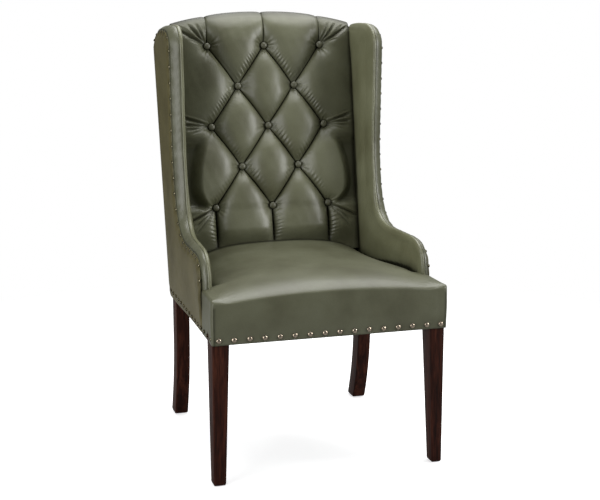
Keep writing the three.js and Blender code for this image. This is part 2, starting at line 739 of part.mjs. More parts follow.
// The lowest ring of the nose follows the seat: it drops towards the outside face
function slopeUnderside(ring) {
  return ring.map((q) => q.setZ(q.z - noseLedge * (1 + q.x / noseThickness)));
}

// Where the section of the pad ends: along the rail, then up the back post
function padEnds(edges, last) {
  const turn = Math.round(last / 2);
  const z = padBottomZ;
  const postY = (height) => backLineY(postFaceDepth, height) - 2 * fitGap;
  const startY = armFrontY + armRidge;
  const topZ = backPoint(postFaceDepth, postLength).y;
  return edges.slice(0, last + 1).map((_, i) => {
    if (i <= turn) return v2(mix(startY, postY(z), i / turn), z);
    const height = mix(z, topZ, (i - turn) / (last - turn));
    return v2(postY(height), height);
  });
}

// Padding and inside cover of the arm and wing: an L in section, with a rolled ridge
function wingPad(edges, ends) {
  const face = coverBoard + 2 * fitGap;
  const frameFace = coverBoard + wingFrameThickness + 2 * fitGap;
  const rings = ends.map((end, i) => {
    const edge = edges[i];
    const hidden = i === 0;
    const ridge = hidden ? -flapGap - looseGap : ridgeAt(edge);
    const width = ridgeWidthAt(edge.p.x);
    const thickness = thicknessAt(edge.p.x);
    const under = (w) => boxingLift(w, width, ridge) - leather;
    const roll = hidden ? 0 : ridgeRoll;
    const endPoint = (w) => new THREE.Vector3(-w, end.x, end.y);
    return [
      ringPoint(edge, face, -wingFrameInset + fitGap),
      ringPoint(edge, face, under(face)),
      ringPoint(edge, width / 3, under(width / 3)),
      ringPoint(edge, width * 2 / 3, under(width * 2 / 3)),
      ringPoint(edge, width + fitGap, ridge - leather - fitGap),
      ringPoint(edge, width + 2 * fitGap, ridge + fitGap),
      ringPoint(edge, mix(width, thickness, padFaceShares[0]), ridge + roll),
      ringPoint(edge, mix(width, thickness, padFaceShares[1]), ridge - ridgeRoll),
      ringPoint(edge, thickness, ridge - 3 * ridgeRoll - leather),
      endPoint(thicknessAt(end.x)),
      endPoint(frameFace),
      ringPoint(edge, frameFace, -wingFrameInset + fitGap),
    ];
  });
  const foot = rings[0];
  const ledge = foot.map((q) => q.clone().setZ(noseZ - looseGap));
  const ledgeEnd = ends[0].clone().lerp(ends[1], 0.5);
  [9, 10].forEach((k) => ledge[k].set(ledge[k].x, ledgeEnd.x, ledgeEnd.y));
  slopeUnderside(rings[1].slice(1, 9));
  slopeUnderside(ledge.slice(1, 9));
  return loft([foot, ledge, ...rings.slice(1)].map((ring) => [...ring].reverse()));
}

function addWings() {
  const edges = nailedEdge();
  const last = edges.findIndex(({ p }) => p.x > wingPadEndY) - 1;
  const ends = padEnds(edges, last);
  sidePair('arm_wing_pad', wingPad(edges, ends), foam, true);
  sidePair('arm_wing_boxing', boxingStrip(edges), oliveLeather, true);
  const frameEdge = edges.slice(1, last + 1)
    .map(({ p, out }) => v2(p.x - out.x * wingFrameInset, p.y - out.y * wingFrameInset));
  const frameBottom = railTop + fitGap;
  const postY = (z) => backLineY(postFaceDepth, z) - 2 * fitGap;
  const postTop = backPoint(postFaceDepth, postLength).y;
  const frame = [v2(armFrontY + wingFrameInset, frameBottom), ...frameEdge,
    v2(postY(postTop), postTop), v2(postY(frameBottom), frameBottom)];
  const frameOuter = coverBoard + fitGap;
  sidePair('arm_wing_board', sideways(frame, -frameOuter - wingFrameThickness, -frameOuter), plywood, true);
  const rearFoot = v2(backLineY(shellDepth, skirtZ), skirtZ);
  const cover = [v2(armFrontY, skirtZ), ...edges.map(({ p }) => p), rearFoot];
  sidePair('outside_cover', sideways(cover, -coverBoard, 0), oliveLeather, true);
}

// Height of the crest along the back, at a distance from the middle
const crestAt = (x) => crestLength - crestDrop * (Math.abs(x) / crestHalf) ** crestPower;

// The buttons: rows of three and two in turn, each row set over the gaps of the one below
function buttonPlaces() {
  const places = [];
  for (let row = 0; row < tuftRows; row += 1) {
    const columns = row % 2 === 0 ? [-2, 0, 2] : [-1, 1];
    for (const column of columns) {
      places.push({ row, column, x: column * tuftHalfPitch, s: firstRow + row * tuftRise });
    }
  }
  return places;
}

// Creases of the tufting: diamonds between buttons, and pleats to the crest, the seat and the sides
function creases() {
  const lines = [];
  const places = buttonPlaces();
  const topRow = tuftRows - 1;
  for (const a of places) {
    for (const b of places) {
      if (b.row === a.row + 1 && Math.abs(b.column - a.column) === 1) lines.push([a.x, a.s, b.x, b.s, true]);
    }
    if (a.row === topRow) lines.push([a.x, a.s, a.x, crestLength, false]);
    if (a.row === 0) lines.push([a.x, a.s, a.x, 0, false]);
    if (Math.abs(a.column) === 2) {
      const climb = a.row === topRow ? pleatRise : a.row === 0 ? -pleatFall : 0;
      lines.push([a.x, a.s, Math.sign(a.x) * padHalf, a.s + climb, false]);
    }
  }
  return lines;
}

const creaseLines = creases();

// How far the cover stands in front of the button seats: full between creases, nothing at a button
function tuftHeight(x, s) {
  let height = tuftSwell;
  for (const [x0, s0, x1, s1, held] of creaseLines) {
    const length2 = (x1 - x0) ** 2 + (s1 - s0) ** 2;
    const t = clamp01(((x - x0) * (x1 - x0) + (s - s0) * (s1 - s0)) / length2);
    const distance = Math.hypot(x - mix(x0, x1, t), s - mix(s0, s1, t));
    const slack = held ? creaseShallowShare * Math.sin(Math.PI * t) : 2 * creaseShallowShare * t;
    height *= 1 - (1 - slack) * Math.exp(-distance / creaseReach);
  }
  for (const place of buttonPlaces()) {
    const distance = Math.hypot(x - place.x, s - place.s);
    height *= 1 - Math.exp(-((distance / buttonWell) ** 2));
  }
  const side = smooth((padHalf - Math.abs(x)) / tuftHalfPitch);
  const [fadeStart, fadeEnd] = tuftFadeShares.map((share) => mix(padBottom, firstRow, share));
  const foot = smooth((s - fadeStart) / (fadeEnd - fadeStart));
  return height * mix(tuftSideShare, 1, side) * mix(tuftFootShare, 1, foot);
}

// The tufted cover with its wadding: a quilted face that rolls over the crest to the outside back
function tuftedCover() {
  const stepX = tuftHalfPitch / tuftSteps;
  const stepS = tuftRise / tuftSteps;
  const columns = [];
  const lastColumn = Math.floor(padHalf / stepX);
  for (let i = -lastColumn; i <= lastColumn; i += 1) columns.push(i);
  const topRow = (tuftRows - 1) * tuftSteps;
  const below = Math.round((firstRow - padBottom) / stepS);
  const rows = [];
  for (let k = -below; k <= topRow; k += k < -1 ? 2 : 1) rows.push(k);
  const grid = [];
  const points = [];
  const xs = [-padHalf, ...columns.map((i) => i * stepX), padHalf];
  const addRow = (place) => grid.push(xs.map((x) => points.push(place(x)) - 1));
  for (const k of rows) {
    const s = firstRow + k * stepS;
    addRow((x) => new THREE.Vector3(x, -tuftHeight(x, s), s));
  }
  const rowTop = firstRow + topRow * stepS;
  const rollStart = (x) => crestAt(x) - crestRound;
  for (const share of tuftTopShares) {
    addRow((x) => {
      const s = mix(rowTop, rollStart(x), share);
      return new THREE.Vector3(x, -tuftHeight(x, s), s);
    });
  }
  const pleat = (x) => {
    const near = Math.min(...[-2, 0, 2].map((column) => Math.abs(x - column * tuftHalfPitch)));
    return crestPleat * Math.exp(-near / creaseReach);
  };
  for (const share of rollShares) {
    const turn = share * Math.PI / 2;
    addRow((x) => {
      const reach = crestMiddleDepth + tuftHeight(x, rollStart(x));
      const s = rollStart(x) + crestRound * Math.sin(turn) - pleat(x) * Math.sin(turn);
      return new THREE.Vector3(x, crestMiddleDepth - reach * Math.cos(turn), s);
    });
  }
  const rearN = postRearN - fitGap;
  addRow((x) => new THREE.Vector3(x, mix(crestMiddleDepth, rearN, capShare),
    crestAt(x) - capHeelDrop / 4 - pleat(x) / 2));
  addRow((x) => new THREE.Vector3(x, rearN, crestAt(x) - capHeelDrop / 2));
  addRow((x) => new THREE.Vector3(x, rearN, padBottom));
  return wrapGrid(points, grid, (c, r) => creaseTurn(xs, c, r, rows));
}

// Which way a cell of the quilted face is split, so that its diagonal runs with the crease
function creaseTurn(xs, c, r, rows) {
  if (r + 1 >= rows.length) return c < xs.length / 2;
  const column = Math.floor(((xs[c] + xs[c + 1]) / 2) / tuftHalfPitch);
  const row = Math.floor((rows[r] + rows[r + 1]) / 2 / tuftSteps);
  return (column + row) % 2 === 0;
}

// A grid whose last row and first row are joined below, with its two sides capped
function wrapGrid(points, grid, splitRising) {
  const triangles = [];
  const rowCount = grid.length;
  for (let r = 0; r < rowCount; r += 1) {
    const here = grid[r];
    const up = grid[(r + 1) % rowCount];
    for (let c = 0; c + 1 < here.length; c += 1) {
      const [a, b, d, e] = [here[c], here[c + 1], up[c], up[c + 1]];
      if (splitRising(c, r)) triangles.push([a, b, e], [a, e, d]);
      else triangles.push([a, b, d], [b, e, d]);
    }
  }
  const left = grid.map((row) => row[0]);
  const right = grid.map((row) => row[row.length - 1]);
  const leftCap = capTriangles(points, left);
  triangles.push(...leftCap.map((face) => sameTurn(face, left) ? face : [...face].reverse()));
  const rightCap = capTriangles(points, right);
  triangles.push(...rightCap.map((face) => sameTurn(face, right) ? [...face].reverse() : face));
  return meshOf(points, triangles);
}

// The line of the crest, lowered by a drop, from one side to the other
function crestLine(half, drop) {
  const line = [];
  for (let i = 0; i <= archSteps; i += 1) {
    const x = mix(half, -half, i / archSteps);
    line.push(v2(x, crestAt(x) - drop));
  }
  return line;
}

// A board with an arched top, in the back's own axes
function archedBoard(half, bottom, drop, n0, n1) {
  return backwards([v2(-half, bottom), v2(half, bottom), ...crestLine(half, drop)], n0, n1);
}

// A covered button: a domed cap on a short shank that reaches down to the cover
function button() {
  const top = buttonSeat + buttonRim;
  const dome = buttonDome - buttonRim;
  const profile = [v2(0, fitGap), v2(shankRadius, fitGap + shankRadius / 2), v2(shankRadius, buttonSeat),
    v2(buttonRadius, buttonSeat), v2(buttonRadius, top)];
  for (const share of domeShares) {
    const angle = share * Math.PI / 2;
    profile.push(v2(buttonRadius * Math.cos(angle), top + dome * Math.sin(angle)));
  }
  profile.push(v2(0, top + dome));
  return new THREE.LatheGeometry(profile, buttonFacets).rotateX(Math.PI);
}

function addBack() {
  const back = new THREE.Group();
  back.position.set(0, backY, skirtZ);
  back.rotation.x = -backAngle;
  chair.add(back);
  const hollow = archedBoard(padHalf + overrun, -overrun, capThickness, padBack, shellDepth + overrun);
  piece(back, 'tufted_cover', toGeometry(toSolid(tuftedCover()).subtract(toSolid(hollow))), oliveLeather);
  const drop = capThickness + 2 * fitGap;
  const foamStart = padBack + fitGap;
  const foamEnd = foamStart + backFoamThickness;
  const foamBottom = padBottom + foamLift;
  piece(back, 'back_foam', archedBoard(padHalf - looseGap, foamBottom, drop, foamStart, foamEnd), foam);
  const strapN = foamEnd + fitGap;
  const railN = strapN + strapThickness + fitGap;
  const railHalf = rearLegInnerX - fitGap;
  const crestBottom = crestLength - crestRailDrop;
  for (const i of [-1, 0, 1]) {
    const x = i * backStrapPitch;
    const half = strapWidth / 2;
    piece(back, `back_strap_${i + 2}`, box(x - half, x + half, strapN, strapN + strapThickness,
      lowerRailStart + strapSeat / 2, crestBottom + strapSeat), webbing);
  }
  const crestRail = archedBoard(padHalf - looseGap, crestBottom, drop, railN, postRearN - fitGap);
  piece(back, 'crest_rail', crestRail, beech);
  piece(back, 'lower_back_rail', box(-railHalf, railHalf, railN, railN + lowerRailDepth,
    lowerRailStart, lowerRailStart + lowerRailHeight), beech);
  buttonPlaces().forEach(({ x, s }, i) => {
    piece(back, `button_${i + 1}`, button(), oliveLeather).position.set(x, 0, s);
  });
  piece(back, 'outside_back', outsideBack(), oliveLeather);
}

// The outside back: as wide as the shell between the outside covers, round-shouldered, arched on top
function outsideBack() {
  const bottom = shellDepth * Math.tan(backAngle);
  const shoulder = (wingHeelZ - skirtZ) / Math.cos(backAngle) + shellDepth * Math.tan(backAngle);
  const halfAt = (z, y) => outerHalf(y) + wingLean * (z - skirtZ) - coverBoard - looseGap;
  const low = halfAt(skirtZ, backLineY(shellDepth, skirtZ));
  const high = halfAt(wingHeelZ, backLineY(shellDepth, wingHeelZ));
  const arch = crestLine(padHalf, capHeelDrop / 2 + fitGap);
  const joinS = crestAt(padHalf) - capHeelDrop / 2 - fitGap;
  const corner = (sign) => shoulderShares.map((share) => {
    const angle = share * Math.PI / 2;
    return v2(sign * mix(padHalf, high, Math.cos(angle)), mix(shoulder, joinS, Math.sin(angle)));
  });
  const right = [v2(low, bottom), v2(high, shoulder), ...corner(1)];
  const left = [...corner(-1).reverse(), v2(-high, shoulder), v2(-low, bottom)];
  return backwards([...right, ...arch, ...left], outsideN, shellDepth);
}

addLegs();
addSeatFrame();
addWebbing();
addDustCover();
addSeat();
addWings();
addBack();

// The origin lies on the floor, under the middle of the chair's length and width
chair.updateMatrixWorld(true);
const bounds = new THREE.Box3().setFromObject(chair, true);
chair.position.y = -(bounds.min.y + bounds.max.y) / 2;

export default chair;
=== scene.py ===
# Upholstered wing-back dining chair: olive leather, deep buttoning, nail heads and dark legs,
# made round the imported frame. Lengths are millimetres until a mesh is made, and y is 0 at the
# front of the seat.
import math
import bpy
import numpy as np
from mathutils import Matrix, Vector
from mathutils.geometry import tessellate_polygon


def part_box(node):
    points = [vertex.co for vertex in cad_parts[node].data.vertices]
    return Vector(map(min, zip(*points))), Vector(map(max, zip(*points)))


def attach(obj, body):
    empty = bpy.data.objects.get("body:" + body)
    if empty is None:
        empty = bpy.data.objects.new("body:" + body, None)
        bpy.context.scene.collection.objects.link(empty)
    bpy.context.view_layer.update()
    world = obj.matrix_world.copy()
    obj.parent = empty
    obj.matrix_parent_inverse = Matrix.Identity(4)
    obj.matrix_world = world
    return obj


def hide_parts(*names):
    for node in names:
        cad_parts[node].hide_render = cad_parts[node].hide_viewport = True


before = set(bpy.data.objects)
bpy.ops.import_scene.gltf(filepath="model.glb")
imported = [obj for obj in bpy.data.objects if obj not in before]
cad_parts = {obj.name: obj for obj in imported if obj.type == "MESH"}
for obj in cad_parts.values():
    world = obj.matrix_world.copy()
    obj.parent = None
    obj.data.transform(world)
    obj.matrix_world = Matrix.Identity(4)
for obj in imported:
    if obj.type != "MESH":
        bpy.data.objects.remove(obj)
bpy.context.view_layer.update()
print("frame loaded, nodes:", len(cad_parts))

# The chair's main measures, as the frame has them
chair = {
    "halfFront": 312.0, "halfRear": 301.0, "skirtZ": 371.0, "seatEdgeZ": 485.0, "frontCrown": 20.0,
    "seatCrown": 16.0, "rearDip": 28.0, "backY": 518.0, "backSlope": 0.2, "shellDepth": 84.0,
    "wingTopZ": 1119.0, "crestOverWing": 52.2, "crestDrop": 37.0, "crestPower": 2.4, "wingLean": 0.012,
    "armThickness": 44.0, "noseThickness": 28.0, "legFrontY": 4.0,
}
halfFront = chair["halfFront"]
skirtZ = chair["skirtZ"]
backY = chair["backY"]
backAngle = math.atan(chair["backSlope"])
rearY = backY + chair["shellDepth"] / math.cos(backAngle)
toeIn = (halfFront - chair["halfRear"]) / rearY
padHalf = chair["halfRear"] - chair["armThickness"]
crestLength = (chair["wingTopZ"] + chair["crestOverWing"] - skirtZ) / math.cos(backAngle)
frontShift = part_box("front_leg_right")[0].y * 1000 - chair["legFrontY"]


# Small curves used everywhere: a blend, a smooth step from 0 to 1, and a bell
def mix(a, b, t):
    return a + (b - a) * t


def smoothStep(t):
    t = np.clip(t, 0.0, 1.0)
    return t * t * (3.0 - 2.0 * t)


def bell(d, width):
    return np.exp(-(d / width) ** 2)


# A gentle unevenness: six sine waves of mixed directions, added up, between about -1 and 1
def ripple(points, size, seed):
    rng = np.random.default_rng(seed)
    total = np.zeros(points.shape[:-1])
    for _ in range(6):
        direction = rng.normal(size=3)
        direction /= np.linalg.norm(direction)
        wave = points @ direction * (2 * math.pi / (size * rng.uniform(0.7, 1.6)))
        total += np.sin(wave + rng.uniform(0, 2 * math.pi))
    return total / 3.5


# Half width of the outside faces at a distance from the front, and the y of the back's line at a depth and height
def outerHalf(y):
    return halfFront - toeIn * y


def backLineY(depth, z):
    return backY + depth / math.cos(backAngle) + (z - skirtZ) * chair["backSlope"]


# From the back's own axes (x across, depth behind the button seats, s up the slope)
def fromBack(x, depth, s):
    x, depth, s = np.broadcast_arrays(x, depth, s)
    y = backY + depth * math.cos(backAngle) + s * math.sin(backAngle)
    z = skirtZ - depth * math.sin(backAngle) + s * math.cos(backAngle)
    return np.stack([x, y, z], -1)


# From a side's own axes (w in from the outside face, y, z): the side leans out and toes in
def fromSide(w, y, z, side):
    w, y, z = np.broadcast_arrays(w, y, z)
    lean = math.atan(chair["wingLean"])
    toe = math.atan(toeIn)
    x1 = -w * math.cos(lean) + z * math.sin(lean) - chair["wingLean"] * skirtZ
    z1 = w * math.sin(lean) + z * math.cos(lean)
    x2 = x1 * math.cos(toe) - y * math.sin(toe)
    y2 = x1 * math.sin(toe) + y * math.cos(toe)
    return np.stack([side * (x2 + halfFront), y2, z1], -1)


# One mesh object from points in millimetres and arrays of faces, turned outwards if it is closed
def makePiece(name, points, faces, attributes=None, smooth=True):
    points = np.asarray(points, float)
    triangles = np.concatenate([f[:, [0, k, k + 1]] for f in faces for k in range(1, f.shape[1] - 1)])
    a, b, c = (points[triangles[:, k]] for k in range(3))
    if np.einsum("ij,ij->i", a, np.cross(b, c)).sum() < 0:
        faces = [f[:, ::-1] for f in faces]
    mesh = bpy.data.meshes.new(name)
    placed = (points + [0, frontShift, 0]) / 1000
    mesh.vertices.add(len(points))
    mesh.vertices.foreach_set("co", placed.astype(np.float32).ravel())
    sizes = np.concatenate([np.full(len(f), f.shape[1]) for f in faces])
    loops = np.concatenate([f.ravel() for f in faces])
    mesh.loops.add(len(loops))
    mesh.loops.foreach_set("vertex_index", loops.astype(np.int32))
    mesh.polygons.add(len(sizes))
    mesh.polygons.foreach_set("loop_start", (np.cumsum(sizes) - sizes).astype(np.int32))
    mesh.polygons.foreach_set("use_smooth", np.full(len(sizes), smooth))
    for key, values in (attributes or {}).items():
        layer = mesh.attributes.new(key, "FLOAT", "POINT")
        layer.data.foreach_set("value", np.asarray(values, np.float32).ravel())
    mesh.update(calc_edges=True)
    mesh.validate()
    made = bpy.data.objects.new(name, mesh)
    bpy.context.scene.collection.objects.link(made)
    return made


# Quads between the rows of a grid of point numbers; closed ways wrap round
def gridFaces(ids, wrapRows=False, wrapColumns=False):
    if wrapRows:
        ids = np.concatenate([ids, ids[:1]], 0)
    if wrapColumns:
        ids = np.concatenate([ids, ids[:, :1]], 1)
    return np.stack([ids[:-1, :-1], ids[:-1, 1:], ids[1:, 1:], ids[1:, :-1]], -1).reshape(-1, 4)


# Triangles that close a loop of points, turned to match the loop's order or against it
def capFaces(points, loop, against):
    found = tessellate_polygon([[Vector(p) for p in points[loop]]])
    faces = loop[np.array(found)]
    order = {int(v): i for i, v in enumerate(loop)}
    turned = []
    for face in faces:
        i, j, k = (order[int(v)] for v in face)
        same = i < j < k or j < k < i or k < i < j
        turned.append(face[::-1] if same == against else face)
    return np.array(turned)


# A closed tube through rings of equal count, with both ends capped
def loftPiece(name, rings, attributes=None, smooth=True):
    count, around = rings.shape[:2]
    points = rings.reshape(-1, 3)
    ids = np.arange(count * around).reshape(count, around)
    first = capFaces(points, ids[0], True)
    last = capFaces(points, ids[-1], False)
    side = gridFaces(ids, wrapColumns=True)
    flat = {key: np.asarray(value).reshape(-1) for key, value in (attributes or {}).items()}
    return makePiece(name, points, [side, first, last], flat, smooth)


# Everything a finished piece needs: the body it rides on, the nodes it stands for, its finish
def dress(piece, material, nodes):
    piece.data.materials.append(material)
    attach(piece, "root")
    if nodes:
        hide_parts(*nodes)
    return piece


# Materials. A node and its values in one call, and links by socket name
def addNode(tree, kind, links=None, **values):
    node = tree.nodes.new(kind)
    for key, value in values.items():
        if key in node.inputs.keys():
            node.inputs[key].default_value = value
        else:
            setattr(node, key, value)
    for key, source in (links or {}).items():
        tree.links.new(source, node.inputs[key])
    return node


def newMaterial(name):
    material = bpy.data.materials.new(name)
    material.use_nodes = True
    tree = material.node_tree
    tree.nodes.clear()
    output = tree.nodes.new("ShaderNodeOutputMaterial")
    shader = tree.nodes.new("ShaderNodeBsdfPrincipled")
    tree.links.new(shader.outputs[0], output.inputs[0])
    return material, tree, shader


def rampNode(tree, source, stops):
    ramp = addNode(tree, "ShaderNodeValToRGB", {"Fac": source})
    elements = ramp.color_ramp.elements
    while len(elements) < len(stops):
        elements.new(0.5)
    for element, (place, color) in zip(elements, stops):
        element.position = place
        element.color = (*color, 1)
    return ramp.outputs["Color"]


def mathNode(tree, operation, a, b):
    node = tree.nodes.new("ShaderNodeMath")
    node.operation = operation
    for socket, value in zip(node.inputs, (a, b)):
        if isinstance(value, (int, float)):
            socket.default_value = value
        else:
            tree.links.new(value, socket)
    return node.outputs[0]


def mixColor(tree, factor, a, b, blend="MIX"):
    node = tree.nodes.new("ShaderNodeMix")
    node.data_type = "RGBA"
    node.blend_type = blend
    for socket, value in ((node.inputs[0], factor), (node.inputs[6], a), (node.inputs[7], b)):
        if isinstance(value, bpy.types.NodeSocket):
            tree.links.new(value, socket)
        else:
            socket.default_value = value if isinstance(value, float) else (*value, 1)
    return node.outputs[2]


# The near-black fourth colour is painted shade, mixed in by a mesh attribute where shade falls
leatherLook = {
    "light": (0.108, 0.111, 0.068), "middle": (0.090, 0.092, 0.053), "dark": (0.070, 0.070, 0.038),
    "crease": (0.008, 0.008, 0.005), "cloudScale": 9.0, "grainScale": 620.0, "wrinkleScale": 95.0,
    "roughLow": 0.38, "roughHigh": 0.5, "specular": 0.55, "coat": 0.16, "coatRough": 0.3,
    "grainDepth": 0.00014, "wrinkleDepth": 0.0007,
}


# Full-grain leather: clouds of tone, fine pebbled grain and soft wrinkles; painted shade, carried by a mesh attribute,
# darkens it to near black and takes away its shine where shade falls
def leatherMaterial(name, lightTint=(1.0, 1.0, 1.0), wrinkle=1.0, gloss=1.0):
    look = leatherLook
    material, tree, shader = newMaterial(name)
    place = tree.nodes.new("ShaderNodeTexCoord").outputs["Object"]
    clouds = addNode(tree, "ShaderNodeTexNoise", {"Vector": place}, Scale=look["cloudScale"], Detail=3.0)
    tones = [tuple(c * t for c, t in zip(look[key], lightTint)) for key in ("dark", "middle", "light")]
    tone = rampNode(tree, clouds.outputs["Fac"], list(zip((0.3, 0.5, 0.72), tones)))
    pores = addNode(tree, "ShaderNodeTexVoronoi", {"Vector": place}, Scale=look["grainScale"])
    specks = rampNode(tree, pores.outputs["Distance"], [(0.0, (1.06, 1.06, 1.06)), (0.7, (0.9, 0.9, 0.9))])
    tone = mixColor(tree, 1.0, tone, specks, "MULTIPLY")
    # painted shade: the mesh attribute darkens the colour towards near black
    crease = addNode(tree, "ShaderNodeAttribute", attribute_name="crease").outputs["Fac"]
    tone = mixColor(tree, crease, tone, look["crease"])
    tree.links.new(tone, shader.inputs["Base Color"])
    blotch = addNode(tree, "ShaderNodeTexNoise", {"Vector": place}, Scale=34.0, Detail=4.0)
    rough = addNode(tree, "ShaderNodeMapRange", {"Value": blotch.outputs["Fac"]})
    rough.inputs["To Min"].default_value = look["roughLow"]
    rough.inputs["To Max"].default_value = look["roughHigh"]
    tree.links.new(rough.outputs[0], shader.inputs["Roughness"])
    # painted shade also lowers the shine and the coat
    open_ = mathNode(tree, "SUBTRACT", 1.0, crease)
    tree.links.new(mathNode(tree, "MULTIPLY", open_, look["specular"] * gloss), shader.inputs["Specular IOR Level"])
    tree.links.new(mathNode(tree, "MULTIPLY", open_, look["coat"] * gloss), shader.inputs["Coat Weight"])
    shader.inputs["Coat Roughness"].default_value = look["coatRough"]
    folds = addNode(tree, "ShaderNodeTexNoise", {"Vector": place}, Scale=look["wrinkleScale"], Detail=5.0)
    foldBump = addNode(tree, "ShaderNodeBump", {"Height": folds.outputs["Fac"]},
                       Strength=0.5 * wrinkle, Distance=look["wrinkleDepth"])
    grain = addNode(tree, "ShaderNodeBump",
                    {"Height": pores.outputs["Distance"], "Normal": foldBump.outputs[0]},
                    Strength=0.45, Distance=look["grainDepth"])
    tree.links.new(grain.outputs[0], shader.inputs["Normal"])
    return material


woodLook = {
    "dark": (0.011, 0.0024, 0.0012), "middle": (0.031, 0.0075, 0.0037), "light": (0.078, 0.023, 0.012),
    "roughness": 0.46, "coat": 0.0,
}


# Stained wood: fine long grain along z, pores, and a satin lacquer
def woodMaterial(name, look, axis="Z"):
    material, tree, shader = newMaterial(name)
    place = tree.nodes.new("ShaderNodeTexCoord").outputs["Object"]
    stretch = {"X": (6, 90, 90), "Y": (90, 6, 90), "Z": (90, 90, 6)}[axis]
    along = addNode(tree, "ShaderNodeMapping", {"Vector": place})
    along.inputs["Scale"].default_value = stretch
    figure = addNode(tree, "ShaderNodeTexNoise", {"Vector": along.outputs[0]}, Scale=1.0, Detail=6.0,
                     Roughness=0.6, Distortion=0.6)
    tone = rampNode(tree, figure.outputs["Fac"],
                    [(0.32, look["dark"]), (0.5, look["middle"]), (0.72, look["light"])])
    fine = addNode(tree, "ShaderNodeMapping", {"Vector": place})
    fine.inputs["Scale"].default_value = tuple(4.0 * k for k in stretch)
    pores = addNode(tree, "ShaderNodeTexNoise", {"Vector": fine.outputs[0]}, Scale=1.6, Detail=3.0)
    shade = rampNode(tree, pores.outputs["Fac"], [(0.38, (0.55, 0.55, 0.55)), (0.55, (1.0, 1.0, 1.0))])
    tree.links.new(mixColor(tree, 1.0, tone, shade, "MULTIPLY"), shader.inputs["Base Color"])
    shader.inputs["Roughness"].default_value = look["roughness"]
    shader.inputs["Coat Weight"].default_value = look["coat"]
    shader.inputs["Coat Roughness"].default_value = 0.28
    shader.inputs["Specular IOR Level"].default_value = 0.13
    bump = addNode(tree, "ShaderNodeBump", {"Height": pores.outputs["Fac"]}, Strength=0.25, Distance=0.0002)
    tree.links.new(bump.outputs[0], shader.inputs["Normal"])
    return material


# Woven or felted cloth for the hidden straps and the dust cover: two crossed waves and some fluff
def clothMaterial(name, light, dark, scale):
    material, tree, shader = newMaterial(name)
    place = tree.nodes.new("ShaderNodeTexCoord").outputs["Object"]
    weft = addNode(tree, "ShaderNodeTexWave", {"Vector": place}, Scale=scale, Distortion=0.4,
                   bands_direction="X")
    warp = addNode(tree, "ShaderNodeTexWave", {"Vector": place}, Scale=scale, Distortion=0.4,
                   bands_direction="Y")
    weave = mathNode(tree, "MAXIMUM", weft.outputs["Fac"], warp.outputs["Fac"])
    tree.links.new(rampNode(tree, weave, [(0.2, dark), (0.9, light)]), shader.inputs["Base Color"])
    shader.inputs["Roughness"].default_value = 0.9
    bump = addNode(tree, "ShaderNodeBump", {"Height": weave}, Strength=0.4, Distance=0.0003)
    tree.links.new(bump.outputs[0], shader.inputs["Normal"])
    return material


# The second pair of colours is the same metal made darker: painted shade for the nails along the sides
nailLook = {
    "bright": (0.46, 0.39, 0.30), "dark": (0.06, 0.03, 0.018), "shadedBright": (0.14, 0.125, 0.08),
    "shadedDark": (0.07, 0.06, 0.035), "roughness": 0.27,
}


# Antique metal of the nail heads: bright where rubbed, brown in the hollows
def nailMaterial(name, bright, dark):
    material, tree, shader = newMaterial(name)
    place = tree.nodes.new("ShaderNodeTexCoord").outputs["Object"]
    stain = addNode(tree, "ShaderNodeTexNoise", {"Vector": place}, Scale=160.0, Detail=3.0)
    rim = addNode(tree, "ShaderNodeAttribute", attribute_name="rim").outputs["Fac"]
    amount = mathNode(tree, "MAXIMUM", rim, mathNode(tree, "MULTIPLY", stain.outputs["Fac"], 0.35))
    tree.links.new(mixColor(tree, amount, bright, dark), shader.inputs["Base Color"])
    shader.inputs["Metallic"].default_value = 1.0
    shader.inputs["Roughness"].default_value = nailLook["roughness"]
    return material


seatLeather = leatherMaterial("seatLeather", gloss=0.8)
# The back, side, button, pad and panel leathers are copies of one leather made brighter or darker, the panel also
# warmer: painted light and shade for how each part is lit
backLeatherLit = leatherMaterial("backLeatherLit", (1.19, 1.19, 1.17), gloss=1.05)
sideLeatherShaded = leatherMaterial("sideLeatherShaded", (0.94, 0.94, 0.92))
buttonLeatherShaded = leatherMaterial("buttonLeatherShaded", (0.78, 0.76, 0.74))
walnut = woodMaterial("walnut", woodLook)
nailMetal = nailMaterial("nailMetal", nailLook["bright"], nailLook["dark"])
# painted shade: a darker copy of the nail metal for the nails along the sides and the panel edges
shadedNailMetal = nailMaterial("shadedNailMetal", nailLook["shadedBright"], nailLook["shadedDark"])
print("materials made")

# Tufted back: rows of three and two buttons on a diamond grid
quilt = {
    "rows": 5, "firstRow": 250.0, "sideMargin": 89.0, "topRowDrop": 102.8, "swell": 30.0,
    "reach": 16.0, "slack": 0.2, "grooveDepth": 5.0, "grooveWidth": 2.0, "footGroove": 9.0,
    "buttonWell": 13.5, "ruffleHeight": 5.0, "rufflePitch": 10.5, "radialHeight": 2.2,
    "bottom": 111.0, "sideShare": 0.12, "sideStart": 145.0, "footShare": 0.08, "sideBand": 4.0,
    "roundStart": 58.0, "rollCentre": 22.0, "pleatNotch": 2.2, "steps": 48, "warp": 0.55,
    "foamRear": 31.4, "capDepth": 80.1, "capDrop": 10.3,
    "sideFlap": 95.0, "topLean": 0.34, "crestShade": 0.8, "upperShade": 0.3,
}
pitchX = (padHalf - quilt["sideMargin"]) / 2
pitchS = (crestLength - quilt["topRowDrop"] - quilt["firstRow"]) / (quilt["rows"] - 1)
buttons = [(row, column) for row in range(quilt["rows"])
           for column in ((-2, 0, 2) if row % 2 == 0 else (-1, 1))]


def crestAt(x):
    return crestLength - chair["crestDrop"] * (np.abs(x) / (padHalf + 11)) ** chair["crestPower"]


